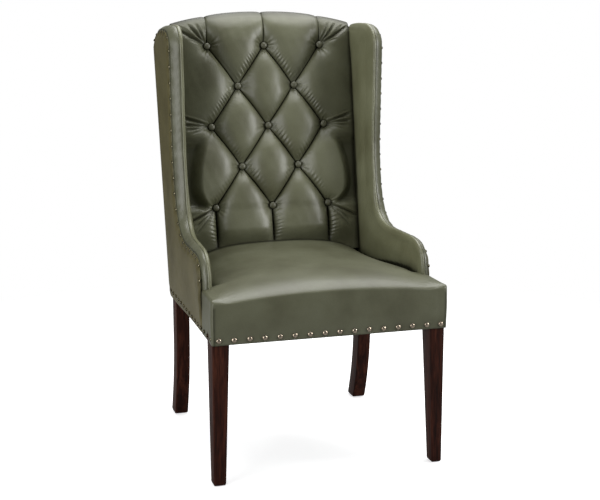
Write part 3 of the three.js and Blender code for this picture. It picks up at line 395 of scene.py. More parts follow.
# Creases as rows of x0, s0, x1, s1, a kind and a key: from each button up to its neighbours, from the
# top row to the crest and from the bottom row to the seat
def creaseRows():
    rows = []
    at = lambda row, column: (column * pitchX, quilt["firstRow"] + row * pitchS)
    for row, column in buttons:
        x, s = at(row, column)
        for other in (column - 1, column + 1):
            if (row + 1, other) in buttons:
                rows.append((*at(row + 1, other), x, s, "held", (row, column, other)))
        if row == quilt["rows"] - 1:
            rows.append((x, s, x, crestLength + 90, "top", (row, column, 0)))
        if row == 0:
            rows.append((x, s, x, 0.0, "foot", (row, column, 0)))
    return rows


# Ruffles above a crease, by its lower button and the column it climbs to: strength, middle, spread
ruffles = {
    (3, -1, 0): (1.0, 0.5, 0.3), (3, 1, 0): (0.85, 0.52, 0.3), (2, -2, -1): (1.1, 0.45, 0.28),
    (2, 2, 1): (0.95, 0.45, 0.3), (1, -1, -2): (0.4, 0.75, 0.15), (1, 1, 0): (0.7, 0.35, 0.22),
    (1, 1, 2): (0.6, 0.7, 0.2), (0, 0, -1): (0.8, 0.2, 0.15), (0, 2, 1): (0.4, 0.5, 0.12),
    (0, -2, -1): (0.2, 0.6, 0.2), (0, 0, 1): (0.25, 0.3, 0.2), (3, 1, 2): (0.15, 0.6, 0.2),
    (2, 0, 1): (0.15, 0.7, 0.2),
}


# Side pleats: from an outer button, how far each climbs by the wing, its depth, and where it ends
sidePleats = {
    0: [(-42.0, 0.95, 1.1), (-72.0, 0.45, 0.8), (-104.0, 0.4, 0.8)],
    2: [(33.0, 0.8, 0.95), (10.0, 0.75, 0.95), (-9.0, 0.55, 0.85), (-28.0, 0.3, 0.7)],
    4: [(50.0, 0.9, 1.0), (62.0, 0.4, 0.9), (100.0, 0.9, 0.6), (170.0, 0.6, 0.38), (30.0, 0.3, 0.6)],
}


# Creases whose inner side falls away deeper, and how much
deepSides = {(3, -1, -2): 0.45, (3, 1, 2): 0.45, (4, -2, 0): 0.3, (4, 2, 0): 0.3}


# Distance from points to a line piece, the share along it, how far beside it they lie, the share
# before it is held to the piece, and the piece's length
def toSegment(x, s, x0, s0, x1, s1):
    length = math.hypot(x1 - x0, s1 - s0)
    ux, us = (x1 - x0) / length, (s1 - s0) / length
    raw = ((x - x0) * ux + (s - s0) * us) / length
    t = np.clip(raw, 0, 1)
    d = np.hypot(x - x0 - t * ux * length, s - s0 - t * us * length)
    return d, t, (x - x0) * us - (s - s0) * ux, raw, length


# Height of the quilted face over the button seats. Every crease multiplies the swell by one minus
# a falling exponential of the distance to it, so the cushions between them stand up round; grooves,
# ruffles across the creases and folds round the buttons are added to that
# The second result is painted shade: dark in the grooves, button wells, ruffle valleys and side pleats, beside the deep
# creases, beyond the lower cushions' limb, on the upper outer cushions by the wings and along the wings' edges
def quiltHeight(x, s):
    height = np.full(x.shape, quilt["swell"])
    groove = np.zeros(x.shape)
    ruffle = np.zeros(x.shape)
    dark = np.zeros(x.shape)
    rng = np.random.default_rng(7)
    for x0, s0, x1, s1, kind, key in creaseRows():
        d, t, perp, raw, length = toSegment(x, s, x0, s0, x1, s1)
        if kind == "top":
            t = np.minimum(1, t * length / quilt["topRowDrop"])
        slack = quilt["slack"] * np.sin(math.pi * t) if kind == "held" else 0.3 + 0.5 * t
        if kind == "foot":
            slack = quilt["slack"] * 0.8 * t
        height *= 1 - (1 - slack) * np.exp(-d / quilt["reach"])
        depth = quilt["footGroove"] * t + quilt["grooveDepth"] if kind == "foot" else quilt["grooveDepth"]
        width = quilt["grooveWidth"] * (1 + 0.9 * t if kind == "foot" else 1)
        fade = 1 - 0.45 * smoothStep(t * 1.6) if kind == "top" else 1
        groove = np.maximum(groove, depth * np.exp(-d / width) * fade)
        # painted shade along the groove, wider at the foot
        dark = np.maximum(dark, np.exp(-(d / ((2.1 if kind == "foot" else 1.05) * width)) ** 1.6) * fade)
        if key in deepSides:
            inward = perp * (-1 if key[1] < 0 else 1)
            window = smoothStep(inward / 7) * smoothStep(1 + 3 * raw) * smoothStep(4 - 3 * raw)
            window = window * bell(t - (0.75 if kind == "held" else 0.0), 0.6)
            height *= 1 - deepSides[key] * window * np.exp(-d / 34)
            # painted shade on the side that falls away, standing in for the shade it lies in
            strength = (1.4 if kind == "held" else 2.2) * deepSides[key]
            dark = np.maximum(dark, strength * window * np.exp(-d / 13))
        if key in ruffles or kind == "foot":
            strength, middle, spread = ruffles.get(key, (0.55, 0.35, 0.3))
            above = perp * np.sign(x1 - x0) < 0 if kind == "held" else perp * (1 if key[1] < 0 else -1) > 0
            along = t * length
            sway = 0.25 * np.sin(along / 15 + rng.uniform(0, 6.28))
            beat = math.pi * ((along + 0.25 * d) / quilt["rufflePitch"] + sway)
            wave = np.abs(np.cos(beat)) ** 3 + 0.45 * np.abs(np.cos(1.9 * beat + 1)) ** 3
            window = (strength * bell(t - middle, spread) + 0.15) * np.where(above, 1.0, 0.12)
            ruffle += window * (wave - 0.4) * bell(d - 9, 12)
            # painted shade in the ruffles' valleys
            valleys = np.clip(window, 0, 1) * smoothStep(1 - 2.2 * wave)
            dark = np.maximum(dark, 0.45 * valleys * bell(d - 6, 8))
    for row, column in buttons:
        bx, bs = column * pitchX, quilt["firstRow"] + row * pitchS
        d = np.hypot(x - bx, s - bs)
        height *= 1 - np.exp(-((d / quilt["buttonWell"]) ** 2))
        turn = np.arctan2(s - bs, x - bx)
        folds = np.sin(13 * turn + rng.uniform(0, 6.28)) * (0.6 + 0.4 * np.sin(3 * turn + rng.uniform(0, 6.28)))
        ruffle += quilt["radialHeight"] / quilt["ruffleHeight"] * folds * np.exp(-np.abs(d - 16) / 9)
        # painted shade in the well round the button
        dark = np.maximum(dark, 0.9 * smoothStep((13.6 - d) / 3.4))
        if abs(column) == 2:
            for climb, depth, stop in sidePleats[row]:
                end = math.copysign(padHalf, bx)
                pd, pt, ps, _, _ = toSegment(x, s, bx, bs, end, bs + climb)
                shown = depth * smoothStep((stop - pt) * 5) * smoothStep((d - 8) / 12)
                height *= 1 - 0.5 * shown * np.exp(-pd / 5)
                ridge = bell(ps * math.copysign(1, bx) + 5.5, 3.0) * smoothStep((13 - pd) / 5)
                ruffle += shown * (0.75 * ridge - 0.9 * bell(pd, 2.6))
                # painted shade in the side pleat
                dark = np.maximum(dark, 0.7 * shown * bell(pd, 1.8))
    # the lower outer cushions end in a rounded limb before the wing, the upper ones fade to it
    overFirst = s - quilt["firstRow"]
    sag = overFirst - 59
    reachUp = np.where(sag > 0, 165.0, 66.0)
    limb = 150 + np.where(x > 0, 74, 69) * np.sqrt(np.maximum(0.05, 1 - (sag / reachUp) ** 2))
    lower = 1 - smoothStep((np.abs(x) - limb + 14) / 34)
    inLower = smoothStep((2 * pitchS - 26 - overFirst) / 44) * smoothStep((overFirst + 12) / 26)
    outward = np.clip((np.abs(x) - quilt["sideStart"]) / (padHalf - quilt["sideStart"]), 0, 1)
    side = 1 - (1 - quilt["sideShare"]) * outward ** 2
    pressed = np.minimum(height * side, height)
    band = (quilt["sideBand"] - 12 * outward ** 2) * np.clip(height / 20, 0, 1)
    pillow = mix(band, height * 1.08, lower)
    height = mix(pressed, pillow, inLower)
    # painted shade on the band beyond the lower cushions' limb
    dark = np.maximum(dark, 0.36 * inLower * (1 - lower))
    # painted shadow of the wings on the upper outer cushions
    upperOuter = (1 - inLower) * smoothStep((np.abs(x) - 95) / 70) * smoothStep((overFirst - 150) / 40)
    dark = np.maximum(dark, quilt["upperShade"] * upperOuter)
    foot = smoothStep(((s - quilt["bottom"]) / (quilt["firstRow"] - quilt["bottom"]) - 0.07) / 0.5)
    height = height * mix(quilt["footShare"], 1, foot)
    # painted shade where the back meets the wings
    dark = np.maximum(dark, 0.75 * bell(padHalf - np.abs(x), 12))
    topRow = quilt["firstRow"] + (quilt["rows"] - 1) * pitchS
    height = height * (1 - quilt["topLean"] * smoothStep((s - topRow - 10) / 80))
    calm = smoothStep((s - quilt["bottom"] - 20) / 60)
    height = height - groove * calm + quilt["ruffleHeight"] * ruffle * calm * smoothStep(height / 8)
    return height, dark


def makeBack():
    n = quilt["steps"]
    bottomShare = (quilt["bottom"] - quilt["firstRow"]) / pitchS
    edge = padHalf / pitchX
    columns = np.concatenate([[-edge], np.arange(-int(edge * n), int(edge * n) + 1) / n, [edge]])
    rows = np.concatenate([[bottomShare], np.arange(math.ceil(bottomShare * n), 4 * n + 1) / n])
    gridS, gridX = np.meshgrid(rows, columns, indexing="ij")
    # the grid is drawn together at the creases, along both diagonals between the buttons
    inside = (gridS >= 0) & (gridS <= quilt["rows"] - 1)
    fade = 1 - smoothStep((np.abs(gridX) - 2.05) / 0.6)
    pull = quilt["warp"] / math.pi * fade
    x = pitchX * (gridX - pull * np.sin(math.pi * gridX) * np.where(inside, np.cos(math.pi * gridS), 1))
    s = gridS - pull * np.cos(math.pi * gridX) * np.where(inside, np.sin(math.pi * gridS), 0)
    s = quilt["firstRow"] + pitchS * s
    height, dark = quiltHeight(x, s)
    bands = [(x, -height, s, dark)]
    topX = x[-1]
    topS = s[-1]
    rollStart = crestAt(topX) - quilt["roundStart"]
    rise = np.linspace(0, 1, 29)[1:, None]
    x2 = np.broadcast_to(topX, (28, len(topX)))
    s2 = mix(topS, rollStart, rise)
    height2, dark2 = quiltHeight(x2, s2)
    bands.append((x2, -height2, s2, dark2))
    # over the crest: a quarter turn about a line inside the back, notched at the three pleats
    near = np.min([np.abs(topX - c * pitchX) for c in (-2, 0, 2)], 0)
    notch = quilt["pleatNotch"] * np.exp(-near / 14) + 2.6 * np.exp(-near / 2.4)
    turn = np.linspace(0, math.pi / 2, 27)[1:, None]
    x3 = np.broadcast_to(topX, (26, len(topX)))
    s3 = rollStart + (quilt["roundStart"] - notch) * np.sin(turn)
    height3, dark3 = quiltHeight(x3, rollStart + 68 * turn / (math.pi / 2))
    d3 = quilt["rollCentre"] - (quilt["rollCentre"] + height3) * np.cos(turn)
    # painted shade darkens the crest's roll towards the top
    rollShade = quilt["crestShade"] * smoothStep((turn - 0.45) / 0.9)
    bands.append((x3, d3, s3, np.maximum(dark3 * 0.9, rollShade)))
    behind = np.linspace(0, 1, 17)[1:, None]
    x4 = np.broadcast_to(topX, (16, len(topX)))
    d4 = mix(quilt["rollCentre"], quilt["capDepth"], behind)
    s4 = crestAt(topX) - notch * (1 - 0.8 * behind) - 8 * smoothStep(behind * 1.05 - 0.05)
    # painted shade on the cap behind the crest
    bands.append((x4, d4, s4, np.maximum(dark3[-1] * 0.6 * (1 - behind), quilt["crestShade"])))
    # back under the cap and down behind the foam
    ones = np.ones(len(topX))
    under = crestAt(topX) - quilt["capDrop"] - quilt["sideFlap"] * (np.abs(topX) > padHalf - 0.5)
    inner = [(quilt["capDepth"], under), (quilt["foamRear"], under),
             (quilt["foamRear"], 420.0 * ones), (quilt["foamRear"], quilt["bottom"] * ones)]
    for depth, level in inner:
        bands.append((topX[None], (depth * ones)[None], (level * ones)[None], np.zeros((1, len(topX)))))
    x, depth, s, dark = (np.concatenate([np.broadcast_to(b[k], b[0].shape) for b in bands]) for k in range(4))
    x = x + np.sign(x) * chair["wingLean"] * 0.92 * s * smoothStep((np.abs(x) - 180) / 77)
    points = fromBack(x, depth, s)
    soft = ripple(points, 120.0, 3)[..., None] * np.where(dark[..., None] > 0.2, 0.0, 0.8)
    soft = soft + 0.22 * ripple(points, 26.0, 4)[..., None]
    points = points + soft * np.array([0.0, -1.0, 0.0])
    ids = np.arange(points.shape[0] * points.shape[1]).reshape(points.shape[:2])
    flat = points.reshape(-1, 3)
    faces = [gridFaces(ids, wrapRows=True), capFaces(flat, ids[:, 0], False), capFaces(flat, ids[:, -1], True)]
    back = makePiece("tuftedBack", flat, faces, {"crease": np.clip(dark, 0, 1)})
    return dress(back, backLeatherLit, ["tufted_cover", "back_foam"])


tuftedBack = makeBack()
print("tufted back:", len(tuftedBack.data.polygons), "faces")

# Buttons: a leather-covered dome tucked into the back on a short shank, each a little uneven
buttonShape = {"radius": 9.5, "seat": 4.8, "top": 12.6, "shank": 3.0, "around": 40}


# Points of a surface of revolution: profile rows of radius and height, turned about the height axis
def turned(profile, around):
    turn = np.linspace(0, 2 * math.pi, around + 1)[:-1]
    radius = profile[:, :1]
    x, y = radius * np.cos(turn), radius * np.sin(turn)
    return np.stack([x, y, np.broadcast_to(profile[:, 1:2], x.shape)], -1)


# Faces of a revolved form whose rows run from one closed end to the other
def turnedFaces(points):
    ids = np.arange(points.shape[0] * points.shape[1]).reshape(points.shape[:2])
    return [gridFaces(ids, wrapColumns=True), ids[:1][:, ::-1], ids[-1:]]


def makeButton(number, row, column):
    look = buttonShape
    dome = np.linspace(0, math.pi / 2, 9)
    rise = look["top"] - look["seat"] - 2.4
    profile = [(look["shank"], 0.4), (look["shank"], look["seat"] - 0.6), (look["radius"] - 2.2, look["seat"] - 0.4),
               (look["radius"] - 0.6, look["seat"] + 0.5), (look["radius"], look["seat"] + 2.4)]
    profile += [(look["radius"] * math.cos(a) ** 0.82 + 0.02, look["seat"] + 2.4 + rise * math.sin(a)) for a in dome[1:]]
    points = turned(np.array(profile), look["around"])
    turn = np.arctan2(points[..., 1], points[..., 0])
    rng = np.random.default_rng(number)
    share = np.hypot(points[..., 0], points[..., 1]) / look["radius"]
    pinch = 0.16 * np.sin(9 * turn + rng.uniform(0, 6.28)) * share ** 3
    points[..., :2] *= (1 + pinch / look["radius"])[..., None]
    points[..., 2] += 0.25 * np.sin(turn + rng.uniform(0, 6.28)) * share
    # painted shade where the dome sinks into the back
    dark = np.where(points[..., 2] < look["seat"] + 1.2, 0.9, 0.0)
    level = quilt["firstRow"] + row * pitchS
    placed = fromBack(points[..., 0] + column * pitchX, -points[..., 2], points[..., 1] + level)
    piece = makePiece(f"button_{number}_dome", placed.reshape(-1, 3), turnedFaces(placed), {"crease": dark})
    dress(piece, buttonLeatherShaded, [f"button_{number}"])


for index, (row, column) in enumerate(buttons):
    makeButton(index + 1, row, column)
print("buttons:", len(buttons))

# Arms and wings, drawn from the side: one nailed edge from the arm's foot to the rear corner
wing = {
    "frontY": 128.0, "noseZ": 484.0, "armTopZ": 561.0, "noseLength": 85.0, "nosePower": 0.72,
    "armRearY": 320.0, "wingFrontY": 501.0, "wingStartZ": 800.0, "wingCornerZ": 1066.0, "wingTopY": 575.0,
    "wingHeelZ": 1062.0, "cornerPower": 0.86, "sweepPull": 0.72, "sweepTuck": 0.07, "sweepLift": 0.33,
    "step": 5.0, "armRidge": 16.0, "wingRidge": 24.0, "crestRidge": 14.0, "ridgeWidth": 29.0,
    "noseRidgeWidth": 16.5, "roll": 5.0, "bulge": 4.4, "padEndY": 665.0, "padBottomZ": 444.0,
    "frameFace": 21.6, "frameInset": 5.7, "lining": 3.6, "postDepth": 30.0, "postLength": 728.0,
    "beadRise": 2.0, "beadDrop": 18.0, "wingDrop": 58.0, "beadThin": 5.5, "groove": 0.7,
    "nailPitch": 43.5, "nailStart": 64.0, "scallop": 2.4, "coverPuff": 2.2, "noseFlare": 3.4, "slit": 2.4,
    "hem": 372.0, "hemDrop": 8.0, "heelRound": 24.0,
}


# The nailed edge, resampled evenly: its y, its z, the direction out of the panel, and its length so far
def nailedEdge():
    w = wing
    quarter = np.linspace(0, math.pi / 2, 60)
    heelY = backLineY(chair["shellDepth"], w["wingHeelZ"])
    along = np.linspace(0, 1, 80)[:, None]
    pull, lift = w["wingFrontY"] - w["armRearY"], w["wingStartZ"] - w["armTopZ"]
    bends = [np.array(p) for p in (
        (w["armRearY"], w["armTopZ"]), (w["armRearY"] + pull * w["sweepPull"], w["armTopZ"]),
        (w["wingFrontY"] - pull * w["sweepTuck"], w["armTopZ"] + lift * w["sweepLift"]),
        (w["wingFrontY"], w["wingStartZ"]))]
    weights = [(1 - along) ** 3, 3 * along * (1 - along) ** 2, 3 * along ** 2 * (1 - along), along ** 3]
    parts = [
        np.array([[w["frontY"], w["padBottomZ"]]]),
        np.stack([w["frontY"] + w["noseLength"] * (1 - np.cos(quarter) ** w["nosePower"]),
                  w["noseZ"] + (w["armTopZ"] - w["noseZ"]) * np.sin(quarter) ** w["nosePower"]], -1),
        sum(weight * bend for weight, bend in zip(weights, bends)),
        np.stack([w["wingTopY"] - (w["wingTopY"] - w["wingFrontY"]) * np.cos(quarter) ** w["cornerPower"],
                  w["wingCornerZ"] + (chair["wingTopZ"] - w["wingCornerZ"]) * np.sin(quarter) ** w["cornerPower"]], -1),
        np.stack([w["wingTopY"] + (heelY - w["wingTopY"]) * np.sin(quarter) ** w["cornerPower"],
                  w["wingHeelZ"] + (chair["wingTopZ"] - w["wingHeelZ"]) * np.cos(quarter) ** w["cornerPower"]], -1)[1:],
    ]
    path = np.concatenate(parts)
    length = np.concatenate([[0], np.cumsum(np.hypot(*np.diff(path, axis=0).T))])
    at = np.linspace(0, length[-1], int(length[-1] / w["step"]) + 1)
    y, z = (np.interp(at, length, path[:, k]) for k in (0, 1))
    slope = np.stack([np.gradient(y, at), np.gradient(z, at)], -1)
    slope /= np.linalg.norm(slope, axis=1, keepdims=True)
    out = np.stack([-slope[:, 1], slope[:, 0]], -1)
    out[z <= w["noseZ"]] = (-1, 0)
    return y, z, out, at


edgeY, edgeZ, edgeOut, edgeAt = nailedEdge()


def thicknessAt(y):
    share = np.clip((y - wing["frontY"]) / (wing["wingFrontY"] - wing["frontY"]), 0, 1)
    return mix(chair["noseThickness"], chair["armThickness"], share)


def ridgeWidthAt(y):
    share = np.clip((y - wing["frontY"]) / (wing["wingFrontY"] - wing["frontY"]), 0, 1)
    return mix(wing["noseRidgeWidth"], wing["ridgeWidth"], share)


def innerHalf(y):
    return outerHalf(y) - thicknessAt(y) - 0.8


# How far the rolled ridge stands out of the nailed edge
def ridgeAt(y, z):
    rising = smoothStep((z - wing["armTopZ"]) / 150.0)
    over = smoothStep((y - wing["wingFrontY"]) / (wing["wingTopY"] - wing["wingFrontY"]))
    ridge = mix(wing["armRidge"], wing["wingRidge"], rising)
    ridge = ridge + 3.5 * bell(z - 710, 90)
    return mix(ridge, wing["crestRidge"], np.where(z > wing["wingStartZ"], over, 0))


# The boxing strip's height over the nailed edge: a straight rise to the ridge and half a sine of bulge
def boxingLift(w, width, ridge):
    return ridge * w / width + wing["bulge"] * np.sin(math.pi * np.clip(w / width, 0, 1))


# Height of the seat's top before its edges are rounded off: a parabola across the front edge, a crown that
# rises by a parabola behind it, and rear corners that dip with the fifth power of the way out
def seatTop(x, y):
    across = np.minimum(1, (x / halfFront) ** 2)
    rise = 1 - np.clip(1 - y / 175.0, 0, 1) ** 2
    crown = chair["frontCrown"] * (1 - across) + chair["seatCrown"] * rise * (1 - across ** 1.5)
    dip = chair["rearDip"] * smoothStep((y - 130) / 330) * (np.abs(x) / 250) ** 5
    return chair["seatEdgeZ"] + crown - dip


# The nose's lower rings slope down to rest on the seat
def restOnSeat(rings, ringZ):
    low = (ringZ >= wing["noseZ"] - 1) & (ringZ < wing["noseZ"] + 60)
    w, z = rings[..., 0], rings[..., 2]
    drop = 10.0 + 12.0 * (1 - np.clip(w / chair["noseThickness"], 0, 1))
    fade = 1 - smoothStep((ringZ - wing["noseZ"]) / 60)
    rings[..., 2] = np.where(low[:, None], z - drop * fade[:, None], z)
    return rings


# Inside cover and padding of one arm and wing. Ring by ring along the nailed edge: under the boxing,
# up out of the seam, round the bead in two quarter ellipses, and down the inner face to the frame
def makePad(side):
    last = int(np.argmax(edgeY > wing["padEndY"])) - 1
    y, z, out, at = (a[:last + 1] for a in (edgeY, edgeZ, edgeOut, edgeAt))
    count = last + 1
    ridge, width, thick = ridgeAt(y, z), ridgeWidthAt(y), thicknessAt(y)
    share = at / at[-1]
    postY = lambda height: backLineY(wing["postDepth"], height) - 0.6
    topZ = skirtZ - wing["postDepth"] * math.sin(backAngle) + wing["postLength"] * math.cos(backAngle)
    turn = 0.42
    endY = np.interp(share, [0, turn, 1], [wing["frontY"] + wing["armRidge"], postY(wing["padBottomZ"]), postY(topZ)])
    endZ = np.interp(share, [0, turn, 1], [wing["padBottomZ"], wing["padBottomZ"], topZ])
    columns = []
    # the columns under the boxing carry painted shade
    for k in (0.0, 0.35, 0.7, 1.0):
        w = mix(wing["lining"], width - 0.2, k)
        columns.append((w, boxingLift(w, width, ridge) - 2.2, 0.5 * np.ones(count)))
    low = ridge - wing["groove"]
    peak = ridge + wing["beadRise"]
    peakW = mix(width, thick, 0.42)
    # painted shade at the seam where the bead starts
    for a in np.linspace(0, math.pi / 2, 8):
        columns.append((peakW - (peakW - width - 0.5) * math.cos(a), low + (peak - low) * math.sin(a),
                        np.full(count, max(0.0, 0.2 - a))))
    # up the wing's front the bead rolls in over a wider band; at the arm and along the top it stays narrow
    upFront = smoothStep((z - 600) / 150) * smoothStep((540 - y) / 70)
    innerW = thick + 1.2 - wing["beadThin"] * upFront
    innerLow = ridge - mix(wing["beadDrop"], wing["wingDrop"], upFront)
    for a in np.linspace(0, math.pi / 2, 12)[1:]:
        columns.append((peakW + (innerW - peakW) * math.sin(a), innerLow + (peak - innerLow) * math.cos(a),
                        np.zeros(count)))
    rings = [np.stack([np.broadcast_to(w, (count,)), y + out[:, 0] * o, z + out[:, 1] * o], -1) for w, o, _ in columns]
    dark = [d for _, _, d in columns]
    start = rings[-1]
    endW = thicknessAt(endY)
    for t in np.linspace(0, 1, 30)[1:]:
        w = mix(start[:, 0], endW, smoothStep(t * 3)) + 4.0 * math.sin(math.pi * min(1, 1.15 * t)) * (1 - t)
        py, pz = mix(start[:, 1], endY, t), mix(start[:, 2], endZ, t)
        # gathers that fan from the inside of the sweep, where the leather is pulled round the bend
        bend = bell(at - at[np.argmin(np.abs(z - 690) + np.where(y > 400, 0, 500))], 95) * bell(t - 0.13, 0.11)
        w = w + 0.9 * bend * (np.sin(at * 2 * math.pi / 15) + 0.7 * np.sin(at * 2 * math.pi / 9.5 + 1.0))
        rings.append(np.stack([w, py, pz], -1))
        # painted shade: a near-black contact shadow where the pad meets the seat, a softer shade up to 30 mm above it,
        # and shade where it meets the back
        overSeat = pz - seatTop(outerHalf(py) - thick, py)
        gap = 7 + 11 * bell(py - 330, 120)
        contact = 0.95 * smoothStep((gap - overSeat) / 4 + 0.5)
        shade = np.maximum(contact, 0.5 * smoothStep((30 - overSeat) / 26))
        toBack = backLineY(-4.0, pz) - py
        dark.append(np.maximum(shade, 0.85 * smoothStep((14 - toBack) / 14)))
    inset = -wing["frameInset"]
    for w in (wing["frameFace"], wing["lining"]):
        rings.append(np.stack([np.full(count, w), y + out[:, 0] * inset, z + out[:, 1] * inset], -1))
        dark.append(np.zeros(count))
    rings.insert(-2, np.stack([np.full(count, wing["frameFace"]), endY, endZ], -1))
    dark.append(np.zeros(count))
    rings = np.stack(rings, 1)
    hidden = z < wing["noseZ"] - 1
    rings[hidden, :-33, 1] = np.maximum(rings[hidden, :-33, 1], wing["frontY"] + 2.3)
    rings = restOnSeat(rings, z)
    points = fromSide(rings[..., 0], rings[..., 1], rings[..., 2], side)
    points = points + 0.5 * ripple(points, 70.0, 11)[..., None] * np.array([side, 0, 0])
    word = "Right" if side > 0 else "Left"
    piece = loftPiece("armWingPad" + word, points, {"crease": np.stack(dark, 1)})
    nodes = ["arm_wing_pad_" + word.lower()]
    return dress(piece, padLeatherLit, nodes)


# A thin closed piece from two matching grids of points, joined all round
def sheetPiece(name, front, back, dark):
    rows, columns = front.shape[:2]
    ids = np.arange(rows * columns).reshape(rows, columns)
    other = ids + rows * columns
    rim = np.concatenate([ids[0, :-1], ids[:-1, -1], ids[-1, :0:-1], ids[:0:-1, 0]])
    after = np.roll(rim, -1)
    wall = np.stack([rim, rim + rows * columns, after + rows * columns, after], -1)
    points = np.concatenate([front.reshape(-1, 3), back.reshape(-1, 3)])
    faces = [gridFaces(ids), gridFaces(other)[:, ::-1], wall]
    shade = np.concatenate([dark.reshape(-1), dark.reshape(-1)])
    return makePiece(name, points, faces, {"crease": shade})


# How close a place along the nailed edge is to a nail, 1 at the nail, 0 midway
def nearNail(at):
    return 0.5 + 0.5 * np.cos(2 * math.pi * (at - wing["nailStart"]) / wing["nailPitch"])




# Boxing strip between the nailed edge and the bead: puckered where the nails pull it in
def makeBoxing(side):
    keep = (edgeZ > wing["noseZ"] - 1) & (edgeY + 11 * edgeOut[:, 0] < backLineY(81.0, edgeZ) - 1.0)
    y, z, out, at = edgeY[keep], edgeZ[keep], edgeOut[keep], edgeAt[keep]
    ridge = ridgeAt(y, z)
    over = smoothStep((y - wing["padEndY"]) / (chair["shellDepth"] / 2))
    width = mix(ridgeWidthAt(y), chair["armThickness"], over)
    front, back, dark = [], [], []
    for share in np.concatenate([[0.0, 0.03, 0.07], np.linspace(0.12, 0.92, 18), [0.96, 1.0]]):
        w = mix(wing["roll"] - 1.2, width, share)
        pucker = wing["scallop"] * (nearNail(at) - 0.5) * bell(w - 3, 7)
        folds = 0.35 * np.sin(2 * math.pi * (at + 1.6 * w) / 9.0) * bell(w - 5, 8) * (1 - nearNail(at)) ** 2
        slant = np.sin(2 * math.pi * (at - 0.9 * w) / 26.0 + 1.3 * np.sin(at / 60))
        slant = 0.3 * slant * math.sin(math.pi * share)
        lift = boxingLift(w, width, ridge) + 0.3 - pucker + folds + slant
        lift = lift - wing["groove"] * 0.9 * bell(1 - share, 0.06) - 1.2 * bell(share, 0.04)
        front.append(np.stack([w, y + out[:, 0] * lift, z + out[:, 1] * lift], -1))
        under = np.minimum(lift, boxingLift(w, width, ridge)) - 1.7
        under = np.maximum(under, 0.2 * (1 - share))
        back.append(np.stack([np.maximum(w, 3.7 * (1 - share) + w * share), y + out[:, 0] * under, z + out[:, 1] * under], -1))
        # painted shade in the seam by the bead and along the nailed edge, deepest at the nails
        shadow = 0.16 * bell(1 - share, 0.04) + 0.85 * bell(share, 0.05) * (0.55 + 0.45 * nearNail(at))
        dark.append(shadow * np.ones(len(at)))
    front, back = (restOnSeat(np.stack(grid, 1), z) for grid in (front, back))
    word = "Right" if side > 0 else "Left"
    placed = [fromSide(g[..., 0], g[..., 1], g[..., 2], side) for g in (front, back)]
    piece = sheetPiece("boxing" + word, *placed, np.stack(dark, 1))
    return dress(piece, sideLeatherShaded, ["arm_wing_boxing_" + word.lower()])


# How far the panel flares out round the nose of the arm
def noseOut(y, z):
    nose = wing["noseFlare"] * bell(np.maximum(0, y - wing["frontY"]), 60)
    nose = nose * smoothStep((z - 385) / 70) * smoothStep((600 - z) / 70)
    return nose + wing["slit"] * bell(np.maximum(0, y - wing["frontY"]), 14) * bell(z - 462, 42)


# The hem runs a little lower towards the back
def hemDropAt(y):
    return wing["hemDrop"] * smoothStep((y - 250) / 300)


# The panel's lower rear corner is pressed into a quarter circle
def roundHeel(y, z):
    r = wing["heelRound"]
    midY, midZ = rearY - r, wing["hem"] - 1 - wing["hemDrop"] + r
    dy, dz = y - midY, z - midZ
    inside = (dy > 0) & (dz < 0)
    size = np.maximum(np.maximum(np.abs(dy), np.abs(dz)), 1e-6) / np.maximum(1e-6, np.hypot(dy, dz))
    size = np.where(inside, size, 1)
    return midY + dy * size, midZ + dz * size


